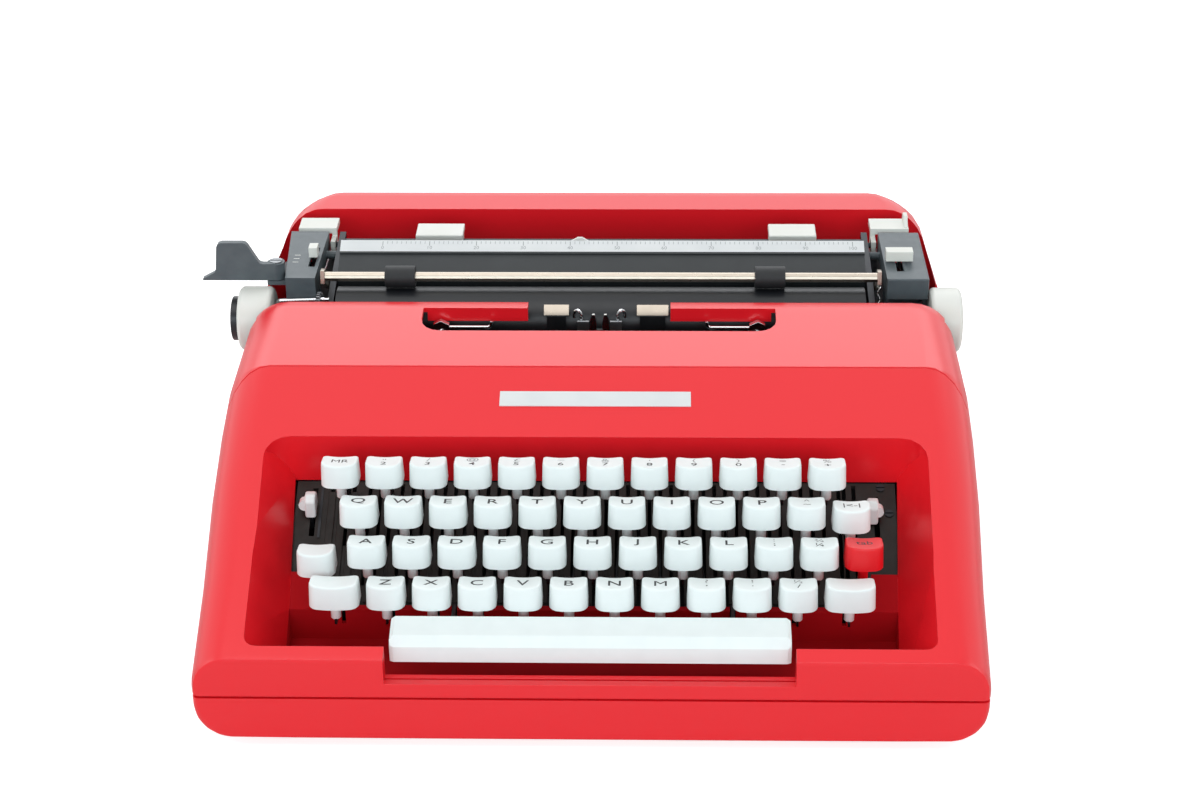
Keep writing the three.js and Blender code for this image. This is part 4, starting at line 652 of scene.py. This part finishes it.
def finish_tray(bm):
    """Lowers the tray's rim, for the shadow gap under the housing, and rounds its corner facets."""
    for vert in bm.verts:
        if abs(vert.co.z / MM - TRAY["top"]) < 0.1:
            vert.co.z -= TRAY["shadow_gap"] * MM
    bm.normal_update()
    least, most = TRAY["corner_bends"]
    bends = []
    for edge in bm.edges:
        faces = edge.link_faces
        if len(faces) == 2 and not any(faces_inward(drawn(f.calc_center_median()), f.normal) for f in faces):
            if least < math.degrees(faces[0].normal.angle(faces[1].normal, 0.0)) < most:
                bends.append(edge)
    bmesh.ops.bevel(bm, geom=bends, offset=TRAY["rounded_share"], offset_type="PERCENT", segments=2,
                    profile=0.5, affect="EDGES", clamp_overlap=False)


# The key tub's faces take the red darkened as painted shade
dressed("housing_moulding", "top_housing", "machine", "red_body", RED, 1.0, 3,
        others=((PAINTED_SHADE_RED, in_the_tub),))
# The tray's inner faces take the black lining as painted shade
dressed("tray_moulding", "base_tray", "machine", "red_body", RED, 0.5, 2,
        others=((RUBBER, lambda c, n: c.z < TRAY["feet_top"]), (SHADE_LINING, faces_inward)), shape=finish_tray)
dressed("cover_moulding", "ribbon_cover", "ribbon_cover", "red_body", RED, 1.0, 3, shape=bend_rear_edge)
dressed("mask_pressing", "key_mask", "machine", "dark_cover", MASK_BLACK, 0.15, 1)

LANE = PITCH / 4
COMB = {"bars": 46, "middle": 83.0, "rise": 0.2, "bar": (3.3, 56.0, 0.7)}
comb_start = on_mask(FIRST_X - 1.5 * LANE, COMB["middle"], COMB["rise"])
comb = row_of_bars("mask_comb_bars", COMB["bars"], comb_start, (LANE, 0.0, 0.0), COMB["bar"],
                   math.atan(MASK["slope"]), "machine", "dark_cover", MASK_BLACK)
soften(comb, 0.2, 2)
MASK_SCREWS = ((126.0, 111.0), (129.2, 99.3), (-128.5, 82.0), (-128.5, 70.0))
screws("mask_screws", [on_mask(*spot) for spot in MASK_SCREWS],
       (0.0, -MASK["slope"], 1.0), 1.9, 1.0, "machine", "steel", OXIDE)


# Keys

TOP_DEPTH = CAP["depth"] - CAP["taper"]
CORNER_STEPS, BOW_STEPS, RIM_RINGS = 7, 6, 5
TOP_RINGS = (0.78, 0.58, 0.38, 0.18)
SHOULDER = {"inset": 0.85, "drop": 0.6}
CHAMFER = {"y": 11.0, "z": 42.7, "facing": (0.0, -0.75, 0.66)}
SPACE_BAR_STEEL = {"below": 35.2, "behind": 26.0}
GANG_BAR_FRONT = 225.0

# Lines of a legend: middle from the cap's middle, letter height, ink and stretch
LETTER = ((-0.4, 5.0, 0, 1.15),)
WORD = ((0.0, 3.4, 0, 1.15),)
PAIR = ((2.2, 3.2, 1, 1.25), (-2.2, 3.2, 0, 1.25))
LETTER_WEIGHT, WORD_WEIGHT = 0.045, 0.02
INK_RISE = 0.05


def cap_top(u, v, half):
    """Height of the dished top over a point of the cap, from its rear edge."""
    return (TOP_DEPTH / 2 - v) * math.tan(math.radians(CAP["tilt"])) - CAP["dish"] * (1 - (u / half) ** 2)


def cap_outline(width, depth):
    """Rounded plan of a cap, its front edge bowed towards the typist."""
    points = []
    half_w, half_d = width / 2, depth / 2
    corners = [(-half_w, -half_d, CAP["corner"], 180), (half_w, -half_d, CAP["corner"], 270),
               (half_w, half_d, CAP["back_corner"], 0), (-half_w, half_d, CAP["back_corner"], 90)]
    for u, v, radius, start in corners:
        cu = u - math.copysign(radius, u)
        cv = v - math.copysign(radius, v)
        for k in range(CORNER_STEPS + 1):
            a = math.radians(start + 90 * k / CORNER_STEPS)
            points.append([cu + radius * math.cos(a), cv + radius * math.sin(a)])
        if u * v > 0:
            points.extend([cu - 2 * cu * k / BOW_STEPS, v] for k in range(1, BOW_STEPS))
    return [[u, v - CAP["bow"] * max(0.0, 1 - (u / half_w) ** 2) if v < 0 else v] for u, v in points]


def cap_and_stem(bm, x, y, z, width, foot):
    """One moulded key: skirt, rounded rim, dished top and the round stem under it."""
    outer = cap_outline(width, CAP["depth"])
    inner = cap_outline(width - CAP["taper"], TOP_DEPTH)
    half = width / 2
    edge = CAP["edge"]

    def top_ring(share, drop):
        """The dished top's outline drawn in to a share, and let down."""
        return [(u * share, v * share, cap_top(u * share, v * share, half) - drop) for u, v in inner]

    shoulder = [[p + (q - p) * SHOULDER["inset"] for p, q in zip(a, b)] for a, b in zip(outer, inner)]
    rings = [[(u, v, -CAP["height"]) for u, v in outer],
             [(u, v, cap_top(u, v, half) - edge - SHOULDER["drop"]) for u, v in shoulder]]
    for k in range(RIM_RINGS):
        a = math.pi / 2 * k / (RIM_RINGS - 1)
        rings.append(top_ring(1 - edge * (1 - math.cos(a)) / (half - 1), edge * (1 - math.sin(a))))
    rings.extend(top_ring(share, 0.0) for share in TOP_RINGS)
    made = [[bm.verts.new(at(x + u, y + v, z + w)) for u, v, w in points] for points in rings]
    skin(bm, made)
    middle = bm.verts.new(at(x, y, z + cap_top(0.0, 0.0, half)))
    for first, second in zip(made[-1], made[-1][1:] + made[-1][:1]):
        bm.faces.new((first, second, middle))
    bm.faces.new(made[0][::-1])

    radius = STEM["radius"]
    profile = [(STEM["foot_radius"], foot), (radius - STEM["rounding"], foot),
               (radius, foot + STEM["rounding_rise"]), (radius, z - CAP["height"] + STEM["into_cap"])]
    angles = [2 * math.pi * k / STEM["sides"] for k in range(STEM["sides"])]
    stem = [[bm.verts.new(at(x + r * math.cos(a), y + r * math.sin(a), h)) for a in angles]
            for r, h in profile]
    skin(bm, stem)
    bm.faces.new(stem[0][::-1])
    bm.faces.new(stem[-1])


def lettering(target, text, height, resolution, weight=0.0):
    """Adds flat filled lettering round the origin; returns its points and its faces."""
    curve = bpy.data.curves.new("lettering", "FONT")
    curve.body = text
    curve.align_x = "CENTER"
    curve.align_y = "CENTER"
    curve.size = height / CAPITAL_SHARE
    curve.offset = weight
    curve.resolution_u = resolution
    obj = bpy.data.objects.new("lettering", curve)
    bpy.context.scene.collection.objects.link(obj)
    bpy.context.view_layer.update()
    mesh = bpy.data.meshes.new_from_object(obj.evaluated_get(bpy.context.evaluated_depsgraph_get()))
    bpy.data.objects.remove(obj)
    points, faces = len(target.verts), len(target.faces)
    target.from_mesh(mesh)
    bpy.data.meshes.remove(mesh)
    target.verts.ensure_lookup_table()
    target.faces.ensure_lookup_table()
    return target.verts[points:], target.faces[faces:]


def legend(target, text, x, y, z, width, line_y, height, ink_index, stretch):
    """Filled lettering laid on the dished top; an M stays unweighted, since its fill breaks up."""
    weight = 0.0
    if "M" not in text:
        weight = LETTER_WEIGHT if len(text) == 1 and height > 4.0 else WORD_WEIGHT
    points, faces = lettering(target, text, height, 3, weight)
    heights = [point.co.y for point in points]
    middle = (min(heights) + max(heights)) / 2
    for point in points:
        u = point.co.x * stretch
        v = point.co.y - middle + line_y
        point.co = at(x + u, y + v, z + cap_top(u, v, width / 2) + INK_RISE)
    for face in faces:
        face.material_index = ink_index


def row_spot(row):
    """Rear edge and top height of the caps in a row, counted from the figures at the rear."""
    back = 3 - row
    return FRONT_ROW_BACK + back * ROW_DEPTH, FRONT_ROW_TOP + back * ROW_RISE


def key_x(row, i):
    """Middle of the i-th key of a row."""
    return FIRST_X + (STAGGER[row] + i) * PITCH


def beside_levers(bm, lanes):
    """The faces that belong to no steel lever: each lever has a thin lane, up to its stem's seat."""
    others = []
    for face in bm.faces:
        points = [drawn(vert.co) for vert in face.verts]
        if not any(all(abs(p.x - x) <= ARM_HALF and p.z <= top for p in points) for x, top in lanes):
            others.append(face)
    return others


def dress_key(node, keys, material=KEY_WHITE, slot="white_key", long_bars=False):
    """keys: (x, row, lever_x, wide, drop, legend lines). Makes a moulded, a steel and an ink piece."""
    caps, inks, steel = bmesh.new(), bmesh.new(), bmesh.new()
    lanes = []
    for x, row, lever_x, wide, drop, lines in keys:
        back, top = row_spot(row)
        y = back - CAP["depth"] / 2
        width = CAP["wide"] if wide else CAP["width"]
        foot = top - CAP["height"] - STEM["length"]
        cap_and_stem(caps, x, y, top - drop, width, foot)
        lanes.append((lever_x, foot + STEM["seat"]))
        layout = PAIR if len(lines) == 2 else WORD if len("".join(lines)) > 1 else LETTER
        for text, line in zip(lines, layout):
            legend(inks, text, x, y, top - drop, width, *line)
    moulded = piece("moulding_" + node, caps, node, slot, material)
    moulded.data.shade_smooth()
    moulded.data.set_sharp_from_angle(angle=math.radians(50.0))
    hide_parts(node)
    if inks.verts:
        piece("legend_" + node, inks, node, "black_steel", INK, GREY_INK)
    else:
        inks.free()
    steel.from_mesh(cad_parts[node].data)
    bmesh.ops.remove_doubles(steel, verts=steel.verts, dist=DOUBLES * MM)
    doomed = beside_levers(steel, lanes)
    if long_bars:
        doomed = [f for f in doomed if any(drawn(v.co).y <= GANG_BAR_FRONT for v in f.verts)]
    bmesh.ops.delete(steel, geom=doomed, context="FACES")
    bmesh.ops.holes_fill(steel, edges=[e for e in steel.edges if e.is_boundary])
    bmesh.ops.recalc_face_normals(steel, faces=steel.faces)
    soften(piece("lever_" + node, steel, node, "black_steel", OXIDE), 0.0)


FIGURE_ROW = [["MR"], ['"', "2"], ["/", "3"], ["@", "4"], ["£", "5"], ["_", "6"], ["&", "7"], ["'", "8"],
              ["(", "9"], [")", "0"], ["=", "-"], ["%", "+"]]
SIGN_KEYS = [(1, 10, ["^", "~"]), (2, 9, [":", ";"]), (2, 10, ["¾", "¼"]), (3, 7, ["?", ","]),
             (3, 8, ["!", "."]), (3, 9, ["½", "/"])]

# Steps sideways to the side keys, the tabulator and the shift keys' levers, and how low two caps lie
SIDE_KEY, TAB_KEY = 21.5, 18.6
SHIFT_LEVER = 2.38
BACKSPACE_DROP, LOCK_DROP = 1.6, 4.5


def plain_key(row, i, lines):
    """A typing key as dress_key takes it: its lever lies straight under its cap."""
    return (key_x(row, i), row, key_x(row, i), False, 0.0, lines)


for row, names in ((1, "qwertyuiop"), (2, "asdfghjkl"), (3, "zxcvbnm")):
    for i, name in enumerate(names):
        dress_key("key_" + name, [plain_key(row, i, [name.upper()])])

gang = [plain_key(0, i, lines) for i, lines in enumerate(FIGURE_ROW)]
gang += [plain_key(*sign) for sign in SIGN_KEYS]
dress_key("figure_and_sign_keys", gang, long_bars=True)

back_x = key_x(1, 11)
dress_key("backspace_key", [(back_x, 1, back_x, False, BACKSPACE_DROP, ["|<-|"])])
tab_x = key_x(2, 10) + TAB_KEY
dress_key("tab_key", [(tab_x, 2, tab_x, False, 0.0, ["tab"])], KEY_RED, "red_key")
lock_x = key_x(2, 0) - SIDE_KEY
dress_key("shift_lock_key", [(lock_x, 2, lock_x, False, LOCK_DROP, [])])
shifts = [(key_x(3, 0) - SIDE_KEY, 3, key_x(0, 0) + SHIFT_LEVER, True, 0.0, []),
          (key_x(3, 9) + SIDE_KEY, 3, back_x - SHIFT_LEVER, True, 0.0, [])]
dress_key("shift_keys", shifts, long_bars=True)


def chamfer_front(bm):
    """Cuts the flat band that runs along the space bar between its top and its front."""
    parts = bm.verts[:] + bm.edges[:] + bm.faces[:]
    cut = bmesh.ops.bisect_plane(bm, geom=parts, plane_co=at(0.0, CHAMFER["y"], CHAMFER["z"]),
                                 plane_no=CHAMFER["facing"], clear_outer=True)
    rim = [item for item in cut["geom_cut"] if isinstance(item, bmesh.types.BMEdge) and item.is_boundary]
    bmesh.ops.edgeloop_fill(bm, edges=rim)


dressed("space_bar_moulding", "space_bar", "space_bar", "white_key", KEY_WHITE, 0.35, 3, 20.0,
        others=((OXIDE, lambda c, n: c.z < SPACE_BAR_STEEL["below"] or c.y > SPACE_BAR_STEEL["behind"]),),
        shape=chamfer_front)


def thumb_lever(name, node, x, y, lobe):
    """A moulded thumb piece with a round lobe beside it, on its dark steel tongue."""
    half, deep, tongue_half = 2.4, 4.0, 0.8
    foot, top = mask_height(y) + 0.5, mask_height(y) + 9.6
    profile = [(y - deep, foot - 1.6), (y + deep, foot + 2.2), (y + deep, foot + 7.4), (y + 1.6, top),
               (y - 1.8, top), (y - deep, top - 2.6)]
    built(name + "_moulding", node, "white_key", KEY_WHITE,
          [(slab, profile, "x", x - half, x + half)], 0.9, 3)
    built(name + "_lobe", node, "white_key", KEY_WHITE,
          [(disc, (x + lobe, y - 3.2, foot + 4.4), 2.5, 4.6, "y", 28, 0.7)], 0.0)
    steel = oblong(x - tongue_half, foot - 8.0, x + tongue_half, foot + 1.0)
    tongue = built(name + "_tongue", node, "black_steel", OXIDE,
                   [(slab, steel, "y", y - 2.0, y + 2.0)], 0.1, 1)
    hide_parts(node)


thumb_lever("touch_lever", "touch_lever", -125.0, 99.0, -2.6)
thumb_lever("colour_lever", "ribbon_colour_lever", 121.6, 97.0, 2.2)
guide = [(y, mask_height(y) + rise) for y, rise in oblong(87.0, -0.1, 111.6, 0.25)]
built("touch_lever_guide", "machine", "black_steel", OXIDE, [(slab, guide, "x", -121.6, -120.5)])


# Name plate, left bare

def deck_plate(bm, outline, low, high):
    """A plate on the sloping deck, between two rises square to it."""
    (y0, z0), (y1, z1) = DECK
    angle = math.atan2(z1 - z0, y1 - y0)
    rings = [[bm.verts.new(at(x, y - math.sin(angle) * rise, deck_height(y) + math.cos(angle) * rise))
              for x, y in outline] for rise in (low, high)]
    close_rings(bm, rings)


built("bare_name_plate", "machine", "white_key", PLATE,
      [(deck_plate, oblong(-43.0, 130.4, 42.3, 138.6), -0.2, 0.5)], 0.15, 2)


# Carriage

SCALE_FRONT = 254.6
KNOB_FOOT = 108.8
AXLE = (225.0, 87.5)


def dressed_pair(name, node, body, *rest):
    """The left and the right one of a pair; a star stands for the side."""
    for side in ("left", "right"):
        dressed(name.replace("*", side), node.replace("*", side), body.replace("*", side), *rest)


def mark_off_scale(bm):
    """Divides the paper table's face where its white scale begins."""
    cut_across(bm, SCALE_FRONT)


dressed_pair("*_end_pressing", "end_cover_*", "carriage", "dark_cover", GREY, 0.8, 3)
dressed("platen_roller", "platen", "platen", "black_rubber", PLATEN_BLACK, 0.25, 2)
dressed_pair("*_knob_moulding", "platen_knob_*", "platen", "white_key", WHITE, 0.6, 3)
dressed("paper_table_pressing", "paper_table", "carriage", "dark_cover", TABLE_PAINT, 0.2, 2,
        others=((PLATE, lambda c, n: c.y > SCALE_FRONT and n.z > 0.5),), shape=mark_off_scale)
dressed_pair("*_margin_tab", "margin_stop_*", "margin_stop_*", "white_key", WHITE, 0.6, 3)
dressed("bail_bar", "paper_bail", "paper_bail", "chrome", NICKEL, 0.15, 2)
dressed_pair("*_bail_roller", "bail_roller_*", "bail_roller_*", "black_rubber", RUBBER, 0.4, 2)
dressed("return_lever_moulding", "return_lever", "return_lever", "dark_cover", GREY, 0.5, 3)
dressed_pair("*_release_tab", "carriage_release_*", "carriage_release_*", "white_key", WHITE, 0.6, 3)
for name, node in (("line_space_knob", "line_space_lever"), ("paper_release_knob", "paper_release_lever")):
    dressed(name, node, node, "white_key", WHITE, 0.5, 3, others=((CHROME, lambda c, n: c.z < KNOB_FOOT),))

for node, material in (("chassis_frame", ZINC), ("type_basket", ZINC), ("typebar", ZINC),
                       ("carriage_frame", OXIDE), ("ribbon_spool_left", OXIDE),
                       ("ribbon_spool_right", OXIDE)):
    repaint(node, material)


# Paper scale: ticks at the type pitch, a longer one and a figure at every tenth

SCALE = {"zero": -107.4, "pitch": 2.3, "tens": 11, "rise": 0.73, "figures": 4.9}
TABLE_FRONT = Vector((240.0, 102.0))
TABLE_REAR = Vector((261.5, 112.0))
length = (TABLE_REAR - TABLE_FRONT).length
run = (TABLE_REAR - TABLE_FRONT).normalized()


def on_scale(x, along):
    """A point this far up the paper table's slope, just proud of its face."""
    rise = SCALE["rise"]
    return (x, TABLE_FRONT.x + run.x * along - run.y * rise, TABLE_FRONT.y + run.y * along + run.x * rise)


def ticks(name, count, inset, step, size):
    """A row of marks along the scale, this far in from its rear edge."""
    row_of_bars(name, count, on_scale(SCALE["zero"], length - inset), (step, 0.0, 0.0), size,
                math.atan2(run.y, run.x), "carriage", "black_steel", GREY_INK)


ticks("scale_short_ticks", SCALE["tens"] * 10 - 9, 1.6, SCALE["pitch"], (0.22, 1.6, 0.06))
ticks("scale_long_ticks", SCALE["tens"], 2.2, SCALE["pitch"] * 10, (0.35, 2.6, 0.08))
figures = bmesh.new()
for k in range(SCALE["tens"]):
    x = SCALE["zero"] + k * 10 * SCALE["pitch"]
    for point in lettering(figures, str(k * 10), 2.0, 2)[0]:
        point.co = at(*on_scale(x + point.co.x, length - SCALE["figures"] + point.co.y))
piece("scale_figures", figures, "carriage", "black_steel", GREY_INK)


# Small parts of the carriage

# Chrome rod under the left end pressing, fixed in the end plate
built("left_end_rod", "carriage", "chrome", CHROME, [
    (wire, [(-130.5, 225.4, 97.4), (-155.6, 225.4, 96.6), (-155.6, 227.0, 93.2)], 2.0, 1.1, 12),
    (wire, [(-131.6, 225.4, 97.2), (-131.6, 225.4, 91.0)], 1.0, 1.1, 10)], 0.0)

# Line-space ratchet on the platen shaft, between the bail arm and the left end pressing
built("ratchet_wheel", "platen", "steel", ZINC, [(disc, (-136.6, *AXLE), 11.6, 2.0, "x", 48, 0.2)], 0.0)
tree, keys = tooth_tree(ZINC)
grown("ratchet_teeth", None, tree, keys,
      {"Count": 38, "Radius": 11.9 * MM, "Centre": list(at(-135.6, *AXLE)),
       "Tooth Size": [1.7 * MM, 0.8 * MM, 1.7 * MM]}, "platen", "steel", ZINC)

# Dark plates under the slots of the two end pressings, a painted shade for the dark inside the slots
built("slot_shade_plates", "carriage", "black_steel", OXIDE,
      [(slab, oblong(left, 243.0, right, 267.0), "z", 97.5, 98.2)
       for left, right in ((-157.5, -138.5), (138.0, 155.5))], 0.15, 1)

# Detent spring at the right end
built("right_detent_spring", "carriage", "chrome", CHROME, [
    (wire, [(134.6, 246.0, 101.0), (135.6, 240.0, 98.0), (133.4, 238.0, 95.5), (135.2, 236.0, 93.0),
            (133.4, 234.0, 90.5)], 1.0, 0.45, 8, 3)], 0.0)

# Screw of the return lever and the three marks of the line space lever
screws("return_lever_screw", [(-156.6, 236.0, 112.9)], (0.0, 0.0, 1.0), 3.0, 0.7,
       "return_lever", "chrome", ZINC)
built("line_space_marks", "carriage", "white_key", WHITE,
      [(slab, oblong(-150.2, y, -147.4, y + 0.5), "z", 107.9, 108.06) for y in (245.0, 249.0, 253.0)])

# Paper pointer at the middle of the scale
built("paper_pointer", "carriage", "white_key", WHITE, [
    (slab, [(-15.0, 111.0), (-6.4, 111.0), (-6.4, 112.0), (-9.6, 113.9), (-11.8, 113.9), (-15.0, 112.0)],
     "y", 261.6, 262.8)], 0.2, 2)

# Upturned end of the right release tab
built("right_release_upturn", "carriage_release_right", "white_key", WHITE, [
    (slab, [(285.2, 108.0), (296.6, 108.0), (296.6, 111.6), (294.6, 113.4), (290.0, 113.4), (288.4, 111.0),
            (285.2, 109.2)], "x", 150.2, 152.3)], 0.4, 2)


# Metalwork in the mouth of the ribbon cover

FORK = (204.7, 205.9)
fork = []
for side in (-1, 1):
    # Bent wire that holds one edge of the ribbon, then the fork's prong on that side
    fork.append((wire, [(side * 8.6, 206.6, 88.0), (side * 8.6, 206.8, 99.2), (side * 10.4, 207.6, 101.0),
                        (side * 12.0, 208.2, 99.4), (side * 12.0, 208.2, 96.6)], 1.2, 0.75, 10, 4))
    fork.append((slab, [(side * 1.4, 88.0), (side * 4.4, 88.0), (side * 4.4, 97.2), (side * 3.4, 99.6),
                        (side * 2.2, 99.6), (side * 1.4, 95.0)], "y", *FORK))
fork.append((slab, oblong(-4.4, 89.4, 4.4, 91.8), "y", *FORK))
built("type_guide_fork", "type_basket", "chrome", CHROME, fork, 0.15, 2)

for hand, x0, x1 in (("left", -26.4, -14.5), ("right", 17.6, 32.6)):
    built("line_holder_" + hand, "machine", "chrome", NICKEL,
          [(strip, [(207.8, 97.6), (209.0, 99.2), (211.4, 101.6)], 0.8, x0, x1)], 0.2, 2)
    built("line_bracket_" + hand, "machine", "black_steel", OXIDE,
          [(strip, [(207.0, 57.0), (207.4, 86.0), (207.6, 97.8)], 0.8, x0 + 1.5, x1 - 1.5)], 0.2, 2)

for hand, side in (("left", -1), ("right", 1)):
    # Wire of a ribbon arm, then its flat eye
    built("ribbon_arm_" + hand, "machine", "chrome", CHROME, [
        (wire, [(side * 76.0, 196.0, 75.5), (side * 76.0, 196.0, 94.0), (side * 72.0, 197.6, 96.6),
                (side * 51.0, 197.6, 96.6), (side * 50.4, 197.6, 99.8)], 2.0, 0.85, 10),
        (slab, [(side * 77.6, 92.0), (side * 69.4, 93.6), (side * 70.4, 98.2), (side * 74.4, 100.2),
                (side * 77.8, 98.4)], "y", 196.4, 199.2)], 0.3, 2)


# Floor, lamps and camera

WHITE_LIGHT = (1.0, 1.0, 1.0, 1.0)
COOL_LIGHT = (0.96, 0.98, 1.0)
FLOOR_LIFT = 0.7
ROOM_LIGHT = 0.34
CARRIAGE_AIM = (0.0, 0.0, 0.08)
KEYS_AIM = (0.0, 0.0, 0.05)


def stage_white():
    """Plain white floor: lit as paper, and lifted to white where the camera sees it."""
    material = bpy.data.materials.new("white_floor_paint")
    material.use_nodes = True
    tree = material.node_tree
    tree.nodes.clear()
    paint = add(tree, "ShaderNodeBsdfDiffuse", {"Color": (0.8, 0.8, 0.8, 1.0)})
    rays = add(tree, "ShaderNodeLightPath")
    lift = add(tree, "ShaderNodeMath", {0: rays.outputs["Is Camera Ray"], 1: FLOOR_LIFT},
               operation="MULTIPLY")
    glow = add(tree, "ShaderNodeEmission", {"Color": WHITE_LIGHT, "Strength": lift.outputs["Value"]})
    total = add(tree, "ShaderNodeAddShader", {0: paint.outputs["BSDF"], 1: glow.outputs["Emission"]})
    add(tree, "ShaderNodeOutputMaterial", {"Surface": total.outputs["Shader"]})
    return material


FLOOR_HALF = 2.6
FLOOR_TOP = -0.0002
floor_mesh = bpy.data.meshes.new("floor")
floor_corners = [(x, y, FLOOR_TOP) for x, y in oblong(-FLOOR_HALF, -FLOOR_HALF, FLOOR_HALF, FLOOR_HALF)]
floor_mesh.from_pydata(floor_corners, [], [(0, 1, 2, 3)])
floor = bpy.data.objects.new("floor", floor_mesh)
floor_mesh.materials.append(stage_white())
bpy.context.scene.collection.objects.link(floor)

world = bpy.data.worlds.new("white_room")
world.use_nodes = True
bpy.context.scene.world = world
air = world.node_tree
air.nodes.clear()
rays = add(air, "ShaderNodeLightPath")
direction = add(air, "ShaderNodeSeparateXYZ", {"Vector": add(air, "ShaderNodeTexCoord").outputs["Generated"]})
behind = add(air, "ShaderNodeMapRange", {
    "Value": direction.outputs["Y"], "From Min": -0.7, "From Max": 0.7, "To Min": 0.3, "To Max": 1.5})
room = add(air, "ShaderNodeBackground", {"Color": WHITE_LIGHT, "Strength": ROOM_LIGHT})
sheen = add(air, "ShaderNodeBackground", {"Color": (*COOL_LIGHT, 1.0), "Strength": behind.outputs["Result"]})
wall = add(air, "ShaderNodeBackground", {"Color": WHITE_LIGHT, "Strength": 1.0})
lit = add(air, "ShaderNodeMixShader", {
    0: rays.outputs["Is Glossy Ray"], 1: room.outputs["Background"], 2: sheen.outputs["Background"]})
seen = add(air, "ShaderNodeMath", {0: rays.outputs["Is Camera Ray"], 1: rays.outputs["Is Transmission Ray"]},
           operation="MAXIMUM")
mixed = add(air, "ShaderNodeMixShader", {
    0: seen.outputs["Value"], 1: lit.outputs["Shader"], 2: wall.outputs["Background"]})
add(air, "ShaderNodeOutputWorld", {"Surface": mixed.outputs["Shader"]})


def softbox(name, place, target, width, height, power, colour=WHITE_LIGHT[:3]):
    """A rectangular lamp in metres and watts, turned to its target."""
    lamp = bpy.data.lights.new(name, "AREA")
    lamp.shape = "RECTANGLE"
    lamp.color = colour
    lamp.size, lamp.size_y, lamp.energy = width, height, power
    obj = bpy.data.objects.new(name, lamp)
    obj.location = place
    obj.rotation_euler = (Vector(target) - Vector(place)).to_track_quat("-Z", "Y").to_euler()
    bpy.context.scene.collection.objects.link(obj)


softbox("top_softbox", (-0.3, -0.5, 1.9), KEYS_AIM, 1.6, 1.2, 9.2)
softbox("rear_softbox", (0.0, 1.35, 1.2), CARRIAGE_AIM, 2.6, 0.6, 12.0, COOL_LIGHT)
for name, x in (("left_softbox", -1.6), ("right_softbox", 1.6)):
    softbox(name, (x, -0.1, 0.9), CARRIAGE_AIM, 0.9, 1.2, 5.0)
softbox("front_softbox", (0.0, -1.8, 0.75), KEYS_AIM, 2.4, 0.8, 20.0, (0.84, 0.95, 1.0))

# The photograph's camera: its place in mm and the directions of its picture
EYE = Vector((35.025, -939.185, 576.709))
RIGHT = Vector((0.99972034, 0.02221413, -0.00810984))
UP = Vector((-0.00334672, 0.47238734, 0.88138471))
FORWARD = Vector((-0.02341018, 0.88111108, -0.47232958))

camera_data = bpy.data.cameras.new("camera")
camera_data.sensor_fit = "HORIZONTAL"
camera_data.sensor_width = 36.0
camera_data.lens = 69.04
camera_data.clip_start, camera_data.clip_end = 0.05, 50.0
camera = bpy.data.objects.new("camera", camera_data)
camera.matrix_world = Matrix.Translation(EYE * MM) @ Matrix((RIGHT, UP, -FORWARD)).transposed().to_4x4()
bpy.context.scene.collection.objects.link(camera)
bpy.context.scene.camera = camera
bpy.context.scene.view_settings.view_transform = "Standard"
